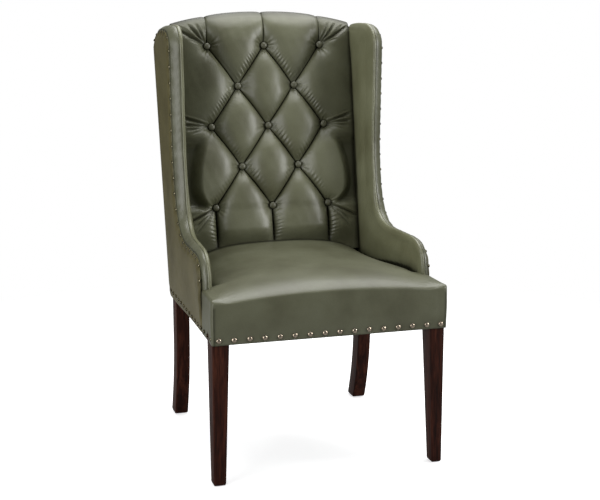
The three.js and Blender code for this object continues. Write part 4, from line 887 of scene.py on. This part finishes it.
# Outside panel of one side, from the nailed edge to the hem and the rear corner: slightly puffed,
# pulled in at each nail, and flared where it wraps the arm's nose
def makeOutside(side):
    foot = np.linspace(wing["hem"], wing["padBottomZ"], 16)[:-1]
    y = np.concatenate([np.full(15, wing["frontY"]), edgeY])
    z = np.concatenate([foot, edgeZ])
    at = np.concatenate([foot - wing["padBottomZ"], edgeAt])
    out = np.concatenate([np.tile([-1.0, 0.0], (15, 1)), edgeOut])
    share = (at - at[0]) / (at[-1] - at[0])
    heelY = backLineY(chair["shellDepth"], wing["wingHeelZ"])
    turn = 0.4
    endY = np.interp(share, [0, turn, 1], [wing["frontY"] + 1, rearY, heelY])
    endZ = np.interp(share, [0, turn, 1], [wing["hem"] - 1, wing["hem"] - 1, wing["wingHeelZ"] - 1])
    endZ = endZ - hemDropAt(endY) * smoothStep((wing["hem"] + 90 - endZ) / 90)
    endY, endZ = roundHeel(endY, endZ)
    shares = np.concatenate([[0, 0.024, 0.04, 0.06, 0.085], np.linspace(0.115, 0.93, 26), [0.96, 0.985, 1.0]])
    front, back, dark = [], [], []
    # first the edge itself, rolled over a quarter circle towards the boxing
    for turnShare in np.linspace(0, 1, 7)[:-1]:
        a = turnShare * math.pi / 2
        tuck = wing["scallop"] * nearNail(at)
        w = 0.6 + wing["roll"] * (1 - math.sin(a)) + 0.3 * tuck
        rise = 0.2 - wing["roll"] * (1 - math.cos(a)) - 0.5 * tuck
        front.append(np.stack([w * np.ones(len(at)) - noseOut(y, z), y + out[:, 0] * rise, z + out[:, 1] * rise], -1))
        back.append(np.stack([np.full(len(at), w + 1.6), y + out[:, 0] * (rise - 1.6), z + out[:, 1] * (rise - 1.6)], -1))
        # painted shade in the slit by the arm's nose, on the rolled edge and at the nails
        slit = bell(z - 436, 44) * (y < wing["frontY"] + 8) * bell(turnShare, 0.3)
        edgeDark = (0.9 if turnShare == 0 else 0.0) + 0.35 * nearNail(at)
        dark.append(np.clip(np.maximum(edgeDark, slit), 0, 1))
    for t in shares:
        py, pz = mix(y, endY, t), mix(z, endZ, t)
        inward = np.hypot(py - y, pz - z)
        toRear = np.maximum(0, (backLineY(chair["shellDepth"], pz) - py))
        toHem = np.maximum(0, pz - wing["hem"])
        edgeDistance = np.minimum(np.minimum(inward, toRear), toHem)
        puff = wing["coverPuff"] * (1 - np.exp(-edgeDistance / 16))
        pull = wing["scallop"] * nearNail(at) * bell(inward - 3, 9)
        hemPull = 0.9 * bell(toHem - 12, 9) * (0.5 + 0.5 * np.cos(2 * math.pi * (py - 19.7) / 39.4))
        w = 0.6 - puff + pull + hemPull - noseOut(py, pz)
        trim = -wing["roll"] * (1 - smoothStep(t / 0.3))
        front.append(np.stack([w, py + out[:, 0] * trim, pz + out[:, 1] * trim], -1))
        back.append(np.stack([np.full(len(at), 2.7), py + out[:, 0] * (trim - 0.5), pz + out[:, 1] * (trim - 0.5)], -1))
        # painted shade just inside the edge at each nail
        dark.append(0.4 * bell(inward - 2, 5) * nearNail(at))
    word = "Right" if side > 0 else "Left"
    placed = [fromSide(g[..., 0], g[..., 1], g[..., 2], side) for g in (np.stack(front, 1), np.stack(back, 1))]
    piece = sheetPiece("outside" + word, *placed, np.stack(dark, 1))
    return dress(piece, panelLeatherLitTint, ["outside_cover_" + word.lower()])


# painted light: the pad's copy is much brighter, and the panel's copy is warmer and browner, for how these faces are
# lit
padLeatherLit = leatherMaterial("padLeatherLit", (1.42, 1.41, 1.35))
panelLeatherLitTint = leatherMaterial("panelLeatherLitTint", (1.1, 0.94, 0.68), 0.6, 0.35)
for side in (-1, 1):
    makePad(side)
    makeBoxing(side)
    makeOutside(side)
print("arms and wings made")

# Seat: a crowned cushion cover, wide in front of the arms and narrow between them
seat = {
    "frontRound": 17.0, "frontReach": 70.0, "sideRound": 7.0, "armRound": 26.0, "cornerRound": 9.0,
    "bulge": 4.0, "flapY": 126.5, "rearY": 533.0, "wallRows": 22, "cornerPull": -1.6, "seamIn": 5.0,
    "nailZ": 383.0, "nailPitch": 39.4, "nailPull": 0.9, "softness": 0.7, "valleyShade": 15.0, "backAt": 512.0,
    "armShade": 0.34, "armShadeWidth": 75.0,
}


# How far a rounded edge has fallen at a distance in from it: a quarter circle
def roundFall(distance, radius):
    d = np.clip(distance, 0, radius)
    return radius - np.sqrt(np.maximum(0, radius ** 2 - (radius - d) ** 2))


# The seat's cover: a sheet over a grid that narrows behind the arms' fronts, then walls down to the hem
def makeSeat():
    r = seat["frontRound"]
    bend = np.linspace(0, math.pi / 2, 20)
    front = seat["frontReach"] * (1 - np.cos(bend))
    rows = np.concatenate([front, np.linspace(seat["frontReach"], seat["flapY"], 10)[1:]])
    wideRows = len(rows)
    rear = np.linspace(seat["flapY"], seat["rearY"], 60)[1:]
    rear = np.concatenate([[seat["flapY"] + 0.4], rear[1:]])
    rows = np.concatenate([rows, rear])
    edge = 1 - np.cos(np.linspace(0, math.pi / 2, 8))
    flat = np.linspace(0, 1, 40)[:-1]
    halfRows = []
    for y in rows:
        inner, outer = innerHalf(y), outerHalf(y)
        side, arm = seat["sideRound"], seat["armRound"]
        half = np.concatenate([flat * (inner - arm), inner - arm * edge[::-1],
                               np.linspace(inner, outer - side, 5)[1:-1], outer - side * edge[::-1]])
        halfRows.append(half)
    half = np.array(halfRows)
    narrow = 39 + 8
    x = np.concatenate([-half[:, :0:-1], half], 1)
    y = np.broadcast_to(rows[:, None], x.shape).copy()
    number = np.abs(np.arange(x.shape[1]) - (half.shape[1] - 1))
    wide = np.arange(len(rows)) < wideRows
    used = wide[:, None] | (number < narrow)[None]
    edgeX = np.where(wide, outerHalf(rows), innerHalf(rows))[:, None]
    corner = smoothStep((np.abs(x) - 256) / 54)
    draw = seat["cornerPull"] * smoothStep((np.abs(x) - 284) / 28) * (1 - smoothStep(y / 40))
    top = seatTop(x, y)
    lowRound = mix(r, seat["sideRound"] + 6, corner)
    frontFall = roundFall(y * lowRound / mix(seat["frontReach"], seat["sideRound"] + 6, corner), lowRound)
    sideFall = roundFall(edgeX - np.abs(x), np.where(wide, seat["sideRound"], seat["armRound"])[:, None])
    rearFall = roundFall(seat["rearY"] - y, seat["sideRound"])
    z = top - np.maximum(frontFall, sideFall) - rearFall
    # both front corners are rounded in plan: the square around each is pressed into a quarter circle
    curve = seat["cornerRound"]
    over = np.clip((np.abs(x) - (outerHalf(y) - curve)) / curve, 0, 1)
    ahead = np.clip((curve - y) / curve, 0, 1)
    press = np.maximum(over, ahead) / np.maximum(1e-6, np.hypot(over, ahead))
    press = np.where(wide[:, None], press, 1.0)
    x = np.where(over > 0, np.sign(x) * (outerHalf(y) - curve + curve * over * press), x)
    y = np.where(ahead > 0, curve - curve * ahead * press, y)
    points = np.stack([x - np.sign(x) * draw * 0.7, y + draw, z - draw * 0.3], -1)
    calm = smoothStep(np.minimum(y, edgeX - np.abs(x)) / 40)
    points[..., 2] += seat["softness"] * ripple(points, 190.0, 21) * calm
    # fine tension lines that run in from both front corners
    for sign in (-1, 1):
        dx, dy = 305 * sign - x, y - 6
        reach = np.hypot(dx, dy)
        turn = np.arctan2(dy, dx * sign)
        lines = np.sin(turn * 21 + sign) + 0.6 * np.sin(turn * 34 + 2)
        points[..., 2] += 0.42 * lines * bell(reach - 34, 26) * smoothStep(reach / 12)
    ids = np.full(x.shape, -1)
    ids[used] = np.arange(used.sum())
    cells = gridFaces(ids)
    cells = cells[(cells >= 0).all(1)]
    flatPoints = points[used]
    # the outline of the sheet, in order: edges that only one cell has
    pairs = np.stack([cells, np.roll(cells, -1, 1)], -1).reshape(-1, 2)
    key = pairs[:, 0] * len(flatPoints) + pairs[:, 1]
    reverse = pairs[:, 1] * len(flatPoints) + pairs[:, 0]
    lone = pairs[~np.isin(key, reverse)]
    following = dict(zip(lone[:, 0].tolist(), lone[:, 1].tolist()))
    loop = [int(lone[0, 0])]
    while following[loop[-1]] != loop[0]:
        loop.append(following[loop[-1]])
    loop = np.array(loop)
    rim = flatPoints[loop]
    ahead, behind = np.roll(rim, -1, 0), np.roll(rim, 1, 0)
    tangent = (ahead - behind)[:, :2]
    tangent /= np.maximum(1e-9, np.linalg.norm(tangent, axis=1, keepdims=True))
    outward = np.stack([tangent[:, 1], -tangent[:, 0]], -1)
    if (rim[:, 0] * outward[:, 0]).sum() < 0:
        outward = -outward
    onFront = rim[:, 1] < 14
    onSide = (np.abs(rim[:, 0]) > outerHalf(rim[:, 1]) - 10) & (rim[:, 1] < seat["flapY"] - 1)
    bulge = seat["bulge"] * np.where(onFront, 1.0, np.where(onSide, 0.25, 0.0))
    bulge = bulge * (1 - 0.7 * smoothStep((np.abs(rim[:, 0]) - 270) / 35))
    levels = np.linspace(0, 1, seat["wallRows"] + 1)[1:]
    levels = np.concatenate([[0.015, 0.04], levels])
    walls, shades = [], []
    across = np.where(onFront, rim[:, 0], rim[:, 1])
    for share in levels:
        z = mix(rim[:, 2], skirtZ, share)
        beat = np.cos(2 * math.pi * (across - 0.5 * seat["nailPitch"]) / seat["nailPitch"])
        nailed = bell(z - seat["nailZ"], 7) * (0.5 + 0.5 * beat)
        swell = bulge * np.sin(math.pi * share) - seat["nailPull"] * nailed * (bulge > 0)
        seamGap = np.abs(np.abs(rim[:, 0]) - (halfFront - seat["seamIn"]))
        seam = bell(seamGap, 1.3) * onFront * smoothStep((share - 0.02) * 12)
        wave = 0.5 * ripple(np.stack([rim[:, 0], rim[:, 1], z], -1), 90.0, 5) * (bulge > 0)
        shift = swell - 1.1 * seam + wave * math.sin(math.pi * share)
        walls.append(np.stack([rim[:, 0] + outward[:, 0] * shift, rim[:, 1] + outward[:, 1] * shift, z], -1))
        # painted shade in the front corner seams and at the nails
        shades.append(0.75 * seam + 0.25 * nailed)
    count = len(flatPoints)
    wallIds = np.arange(len(levels) * len(loop)).reshape(len(levels), len(loop)) + count
    allIds = np.concatenate([loop[None], wallIds])
    points = np.concatenate([flatPoints, np.concatenate(walls)])
    base = capFaces(points, wallIds[-1], False)
    sides = gridFaces(allIds, wrapColumns=True)[:, ::-1]
    shade = np.concatenate([np.zeros(count), np.concatenate(shades)])
    # painted shade on the parts under the back and close along the arms' inner sides
    behind = (points[:, 1] > 500) | (np.abs(points[:, 0]) > innerHalf(points[:, 1]) - 3) & (points[:, 1] > 140)
    # the cover dips into a valley along both arms and against the back: painted shade darkens it there, and a broader
    # painted shadow of the arm falls on the left
    toArm = np.where(points[:, 1] > seat["flapY"], innerHalf(points[:, 1]) - np.abs(points[:, 0]), 99)
    toBack = seat["backAt"] - points[:, 1]
    valleyShade = smoothStep(1 - np.minimum(toArm, toBack) / seat["valleyShade"])
    armShade = seat["armShade"] * smoothStep(1 - toArm / seat["armShadeWidth"]) * (points[:, 0] < 0)
    shade = np.maximum(shade, np.maximum(0.5 * behind, np.maximum(armShade, 0.85 * valleyShade)))
    return dress(makePiece("seatCover", points, [cells, sides, base[:, ::-1]], {"crease": shade}),
                 seatLeather, ["seat_cover", "seat_foam"])


makeSeat()
print("seat made")

# Outside back: one flat panel with an arched top, softly puffed and turned under at its edges
panel = {"puff": 2.6, "thickness": 2.7, "edgeIn": 3.8, "underCrest": 8.3, "rows": 70, "columns": 61}


def makeOutsideBack():
    bottom = chair["shellDepth"] * math.tan(backAngle) - wing["hemDrop"]
    shoulder = (wing["wingHeelZ"] - skirtZ) / math.cos(backAngle) + bottom
    depth = chair["shellDepth"]
    low, high = (outerHalf(backLineY(depth, z)) + chair["wingLean"] * (z - skirtZ) - panel["edgeIn"]
                 for z in (skirtZ, wing["wingHeelZ"]))
    c = np.sin(np.linspace(-1, 1, panel["columns"]) * math.pi / 2)
    topX = np.abs(c) * high
    arch, join = (crestAt(x) - panel["underCrest"] for x in (topX, padHalf))
    across = np.clip((topX - padHalf) / (high - padHalf), 0, 1)
    topS = np.where(topX < padHalf, arch, mix(shoulder, join, np.sqrt(1 - across ** 2)))
    v = 0.5 - 0.5 * np.cos(np.linspace(0, 1, panel["rows"]) * math.pi)
    # the lower corners follow the sides' rounded heels
    foot = roundFall(low - np.abs(c) * low, wing["heelRound"])
    s = mix(bottom + foot[None], topS[None], v[:, None])
    half = mix(low, high, np.clip((s - bottom) / (shoulder - bottom), 0, 1))
    x = c[None] * half
    inset = np.minimum(np.minimum(half - np.abs(x), s - bottom), topS[None] - s)
    puff = panel["puff"] * (1 - np.exp(-inset / 14)) - 1.5
    surface = fromBack(x, depth + puff, s)
    uneven = 0.5 * ripple(surface, 160.0, 31) * smoothStep(inset / 40)
    surface = surface + uneven[..., None] * np.array([0, 1, 0])
    inner = fromBack(x, depth - panel["thickness"], s)
    # painted shade where the edge turns under
    piece = sheetPiece("outsideBack", surface, inner, 0.7 * bell(inset, 1.2))
    return dress(piece, panelLeatherLitTint, ["outside_back"])


makeOutsideBack()
print("outside back made")

# Nails: one domed head, set again and again along the skirt and the panel edges
nail = {"radius": 7.0, "height": 3.6, "around": 12, "edgeRadius": 4.3, "edgeHeight": 2.4, "edgeIn": 1.6}


# One mesh of many heads: a dome of revolution moved to each place and turned to face out
def makeNails(name, places, outs, radius, height, seed, metal):
    dome = np.linspace(0, math.pi / 2, 6)
    profile = np.array([(radius * 0.82, -1.6), (radius * 0.94, -0.5)] + [(radius * math.cos(a) + 0.03, height * math.sin(a)) for a in dome])
    unit = turned(profile, nail["around"])
    rim = 1 - smoothStep((unit[..., 2] / height - 0.1) / 0.5)
    outs = outs / np.linalg.norm(outs, axis=1, keepdims=True)
    rng = np.random.default_rng(seed)
    outs = outs + rng.normal(0, 0.07, outs.shape)
    outs /= np.linalg.norm(outs, axis=1, keepdims=True)
    upward = np.array([0.0, 0.0, 1.0])
    right = np.cross(upward, outs)
    right /= np.linalg.norm(right, axis=1, keepdims=True)
    up = np.cross(outs, right)
    places = places + rng.normal(0, 0.35, places.shape)
    flat = unit.reshape(-1, 3)
    points = (places[:, None] + flat[None, :, :1] * right[:, None] + flat[None, :, 1:2] * up[:, None]
              + flat[None, :, 2:] * outs[:, None])
    faces = turnedFaces(unit)
    step = np.arange(len(places))[:, None, None] * len(flat)
    faces = [(f[None] + step).reshape(-1, f.shape[1]) for f in faces]
    piece = makePiece(name, points.reshape(-1, 3), faces, {"rim": np.tile(rim.reshape(-1), len(places))})
    return dress(piece, metal, [])


def makeAllNails():
    x = (np.arange(16) - 7.5) * seat["nailPitch"]
    front = np.stack([x, np.full(16, -1.2), np.full(16, seat["nailZ"])], -1)
    makeNails("nailsFront", front, np.tile([0.0, -1.0, 0.0], (16, 1)), nail["radius"], nail["height"], 1, nailMetal)
    for side in (-1, 1):
        word = "Right" if side > 0 else "Left"
        y = np.arange(19.7, rearY - 12, seat["nailPitch"])
        onSeat = y < wing["frontY"]
        w = np.where(onSeat, -0.8, -0.9)
        low = np.where(onSeat[:, None], np.stack([side * (outerHalf(y) + 0.8), y, np.full(len(y), seat["nailZ"])], -1),
                       fromSide(w, y, np.full(len(y), seat["nailZ"]), side))
        # the side nails take the darker copy of the metal: painted shade
        makeNails("nailsSide" + word, low, np.tile([side, 0.0, 0.0], (len(y), 1)), nail["radius"] * 0.75, nail["height"] * 0.75, 2, shadedNailMetal)
        at = np.arange(wing["nailStart"], edgeAt[-1] - 8, wing["nailPitch"])
        py, pz = np.interp(at, edgeAt, edgeY), np.interp(at, edgeAt, edgeZ)
        oy, oz = np.interp(at, edgeAt, edgeOut[:, 0]), np.interp(at, edgeAt, edgeOut[:, 1])
        back = nail["edgeIn"]
        places = fromSide(2.6 - noseOut(py, pz), py - oy * back, pz - oz * back, side)
        outs = np.stack([np.full(len(at), float(side)), oy * 0.8, oz * 0.8], -1)
        # the edge nails take the darker copy of the metal too: painted shade
        makeNails("nailsEdge" + word, places, outs, nail["edgeRadius"], nail["edgeHeight"], 3, shadedNailMetal)


makeAllNails()
print("nails set")

# Legs: square and tapered in front, swept back and raked up behind the shell at the rear
leg = {
    "frontY": 4.0, "inset": 4.5, "wider": 3.8, "width": 40.0, "depth": 58.0, "footWidth": 28.0, "footDepth": 36.0,
    "round": 2.6, "bottom": 2.3, "top": 438.0, "rearInner": 263.0, "rearOuter": 294.0, "rearDepth": 50.0,
    "kick": 49.0, "kickZ": 245.0, "postRear": 80.7, "railTop": 439.6, "rearMargin": 12.66,
    "leftWider": (7.5, 0.0), "rightWider": (3.0, 4.5),
}



# Rounded rectangles, one per level: corners are quarter circles that a small bevel draws in at the foot
def roundedRings(x0, x1, y0, y1, z, radius):
    turn = np.linspace(0, math.pi / 2, 6)
    rings = []
    corners = ((x1, y1, 1, 1, 0), (x0, y1, -1, 1, 1), (x0, y0, -1, -1, 2), (x1, y0, 1, -1, 3))
    for cx, cy, sx, sy, quarter in corners:
        a = turn + quarter * math.pi / 2
        px = (cx - sx * radius)[:, None] + radius[:, None] * np.cos(a)
        py = (cy - sy * radius)[:, None] + radius[:, None] * np.sin(a)
        rings.append(np.stack([px, py, np.broadcast_to(z[:, None], px.shape)], -1))
    return np.concatenate(rings, 1)


def makeLegs():
    levels = np.concatenate([[0, 0.6, 1.6, 3.0, 4.6], np.linspace(8, leg["top"] - leg["bottom"] - 2, 46), [leg["top"] - leg["bottom"]]])
    z = levels + leg["bottom"]
    taper = np.clip((z - leg["bottom"] - 4) / (skirtZ - leg["bottom"] - 4), 0, 1)
    draw = np.interp(levels, [0, 1.6, 4.6], [2.4, 0.8, 0])
    width = mix(leg["footWidth"], leg["width"], taper)
    depth = mix(leg["footDepth"], leg["depth"], taper)
    for side in (-1, 1):
        word = "Right" if side > 0 else "Left"
        outer = halfFront - leg["inset"] + (leg["wider"] if side < 0 else 0)
        y0, y1 = leg["frontY"] + draw, leg["frontY"] + depth - draw
        xa, xb = side * (outer - draw), side * (halfFront - leg["inset"] - width + draw)
        rings = roundedRings(np.minimum(xa, xb), np.maximum(xa, xb), y0, y1, z, np.full(len(z), leg["round"]))
        piece = loftPiece("frontLeg" + word, rings)
        dress(piece, walnut, ["front_leg_" + word.lower()])


# Rear legs: a foot swept back by a parabola, an upright stretch and the raked post inside the shell.
# Below the skirt each leg is wider than its solid, by the amounts for its inner and outer side
def makeRearLegs():
    rearFrontY = rearY - leg["rearMargin"] - leg["rearDepth"]
    foot = leg["bottom"]
    low = np.concatenate([[foot, foot + 0.6, foot + 1.6, foot + 3.0, foot + 4.6], np.linspace(12, leg["kickZ"], 30)])
    high = np.array([leg["kickZ"] + 40, skirtZ - 7, skirtZ - 5, skirtZ - 3, skirtZ - 1, skirtZ])
    z = np.concatenate([low, high])
    draw = np.interp(z - foot, [0, 1.6, 4.6], [2.4, 0.8, 0])
    y = rearFrontY + leg["kick"] * np.clip(1 - z / leg["kickZ"], 0, 1) ** 2
    fronts = np.stack([y + draw, z], -1)
    rears = np.stack([y + leg["rearDepth"] - draw, z], -1)
    top = leg["railTop"]
    ends = []
    for depth in (wing["postDepth"], leg["postRear"]):
        topY = backY + depth * math.cos(backAngle) + wing["postLength"] * math.sin(backAngle)
        topZ = skirtZ - depth * math.sin(backAngle) + wing["postLength"] * math.cos(backAngle)
        ends.append(np.array([(backLineY(depth, top), top), (topY, topZ)]))
    fronts = np.concatenate([fronts, ends[0]])
    rears = np.concatenate([rears, ends[1]])
    across = rears - fronts
    depth = np.linalg.norm(across, axis=1)
    z = fronts[:, 1]
    draw = np.concatenate([draw, [0, 0]])
    below = smoothStep((skirtZ - 1 - z) / 5)
    for side in (-1, 1):
        word = "Right" if side > 0 else "Left"
        more = leg["rightWider"] if side > 0 else leg["leftWider"]
        inner = side * (leg["rearInner"] - more[0] * below + draw)
        outer = side * (leg["rearOuter"] + more[1] * below - draw)
        none = np.zeros(len(z))
        rings = roundedRings(np.minimum(inner, outer), np.maximum(inner, outer), none, depth, none,
                             np.full(len(z), leg["round"]))
        share = rings[..., 1:2] / depth[:, None, None]
        placed = fronts[:, None, :] + share * across[:, None, :]
        rings = np.concatenate([rings[..., :1], placed], -1)
        piece = loftPiece("rearLeg" + word, rings)
        dress(piece, walnut, ["rear_leg_" + word.lower()])


makeLegs()
makeRearLegs()
print("legs made")

# The rest keeps the frame's own shapes and gets its finish here
beech = woodMaterial("beech", {"dark": (0.42, 0.27, 0.15), "middle": (0.52, 0.35, 0.2), "light": (0.6, 0.43, 0.27),
                               "roughness": 0.6, "coat": 0.0}, "X")
plywood = woodMaterial("plywood", {"dark": (0.5, 0.36, 0.21), "middle": (0.6, 0.45, 0.28),
                                   "light": (0.68, 0.54, 0.36), "roughness": 0.65, "coat": 0.0}, "Y")
webbing = clothMaterial("webbing", (0.3, 0.21, 0.11), (0.12, 0.08, 0.04), 160.0)
cambric = clothMaterial("cambric", (0.014, 0.014, 0.014), (0.006, 0.006, 0.006), 240.0)
nylon = clothMaterial("nylon", (0.04, 0.035, 0.032), (0.03, 0.026, 0.024), 60.0)
finishes = {"rail": beech, "block": beech, "board": plywood, "strap": webbing, "dust": cambric, "glide": nylon}
for name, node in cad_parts.items():
    for word, finish in finishes.items():
        if word in name:
            node.data.materials.clear()
            node.data.materials.append(finish)
print("finishes set")

# Camera at the photograph's place, lamps, floor and white surround
view = {"azimuth": -16.72, "elevation": 11.72, "distance": 3.544, "lens": 78.0, "aim": (4.0, 300.0, 536.0)}
studio = {
    "world": 0.16, "keyPlace": (3.0, -1.9, 1.7), "keySize": 1.7, "keyPower": 88.0,
    "fillPlace": (-3.1, -1.7, 1.5), "fillSize": 3.0, "fillPower": 112.0,
    "topPlace": (0.5, 0.55, 3.0), "topSize": 3.0, "topPower": 126.0, "worldColor": (0.93, 0.96, 1.0, 1),
    "floorColor": (0.86, 0.86, 0.86, 1), "bounceColor": (0.32, 0.32, 0.32, 1), "floorLift": 0.55,
    "whiteFrom": 0.7, "whiteFull": 1.9,
}


def aimedAt(thing, target):
    thing.rotation_mode = "QUATERNION"
    thing.rotation_quaternion = (Vector(target) - thing.location).to_track_quat("-Z", "Y")


def addLamp(name, place, size, power):
    data = bpy.data.lights.new(name, "AREA")
    data.shape = "SQUARE"
    data.size = size
    data.energy = power
    lamp = bpy.data.objects.new(name, data)
    lamp.location = place
    bpy.context.scene.collection.objects.link(lamp)
    aimedAt(lamp, (0, 0, 0.6))


def makeStudio():
    scene = bpy.context.scene
    azimuth, elevation = (math.radians(view[key]) for key in ("azimuth", "elevation"))
    aim = Vector((view["aim"][0], view["aim"][1] + frontShift, view["aim"][2])) / 1000
    back = Vector((math.sin(azimuth) * math.cos(elevation), -math.cos(azimuth) * math.cos(elevation),
                   math.sin(elevation)))
    data = bpy.data.cameras.new("camera")
    data.lens = view["lens"]
    data.sensor_width = 36.0
    camera = bpy.data.objects.new("camera", data)
    camera.location = aim + back * view["distance"]
    aimedAt(camera, aim)
    scene.collection.objects.link(camera)
    scene.camera = camera
    for name in ("key", "fill", "top"):
        addLamp(name + "Lamp", studio[name + "Place"], studio[name + "Size"], studio[name + "Power"])
    world = bpy.data.worlds.new("surround")
    scene.world = world
    world.use_nodes = True
    tree = world.node_tree
    tree.nodes.clear()
    output = tree.nodes.new("ShaderNodeOutputWorld")
    path = tree.nodes.new("ShaderNodeLightPath")
    seen = mathNode(tree, "MAXIMUM", path.outputs["Is Camera Ray"], path.outputs["Is Transmission Ray"])
    ambient = addNode(tree, "ShaderNodeBackground", Strength=studio["world"])
    ambient.inputs["Color"].default_value = studio["worldColor"]
    white = addNode(tree, "ShaderNodeBackground", Strength=1.0)
    white.inputs["Color"].default_value = (1, 1, 1, 1)
    joined = tree.nodes.new("ShaderNodeMixShader")
    tree.links.new(seen, joined.inputs[0])
    tree.links.new(ambient.outputs[0], joined.inputs[1])
    tree.links.new(white.outputs[0], joined.inputs[2])
    tree.links.new(joined.outputs[0], output.inputs[0])
    scene.view_settings.view_transform = "Standard"


# Round floor, white to the camera far from the chair and plain pale under it, so the shadow stays
def makeFloor():
    material, tree, shader = newMaterial("paleFloor")
    shader.inputs["Base Color"].default_value = studio["floorColor"]
    shader.inputs["Roughness"].default_value = 0.9
    shader.inputs["Specular IOR Level"].default_value = 0.1
    place = tree.nodes.new("ShaderNodeTexCoord").outputs["Object"]
    distance = addNode(tree, "ShaderNodeVectorMath", {0: place}, operation="LENGTH").outputs["Value"]
    far = addNode(tree, "ShaderNodeMapRange", {"Value": distance})
    far.inputs["From Min"].default_value = studio["whiteFrom"]
    far.inputs["From Max"].default_value = studio["whiteFull"]
    path = tree.nodes.new("ShaderNodeLightPath")
    seen = mathNode(tree, "MULTIPLY", path.outputs["Is Camera Ray"], far.outputs[0])
    plain = addNode(tree, "ShaderNodeEmission", Strength=1.0)
    lift = addNode(tree, "ShaderNodeEmission", Strength=studio["floorLift"])
    lifted = tree.nodes.new("ShaderNodeAddShader")
    tree.links.new(shader.outputs[0], lifted.inputs[0])
    tree.links.new(lift.outputs[0], lifted.inputs[1])
    bounce = addNode(tree, "ShaderNodeBsdfDiffuse")
    bounce.inputs["Color"].default_value = studio["bounceColor"]
    near = tree.nodes.new("ShaderNodeMixShader")
    tree.links.new(path.outputs["Is Camera Ray"], near.inputs[0])
    tree.links.new(bounce.outputs[0], near.inputs[1])
    tree.links.new(lifted.outputs[0], near.inputs[2])
    joined = tree.nodes.new("ShaderNodeMixShader")
    tree.links.new(seen, joined.inputs[0])
    tree.links.new(near.outputs[0], joined.inputs[1])
    tree.links.new(plain.outputs[0], joined.inputs[2])
    output = next(node for node in tree.nodes if node.type == "OUTPUT_MATERIAL")
    tree.links.new(joined.outputs[0], output.inputs[0])
    turn = np.linspace(0, 2 * math.pi, 65)[:-1]
    ring = np.stack([np.cos(turn) * 20000, np.sin(turn) * 20000 - frontShift, np.full(64, -0.2)], -1)
    floor = makePiece("floor", ring, [np.arange(64)[None]], smooth=False)
    floor.data.materials.append(material)


makeStudio()
makeFloor()
print("studio set")
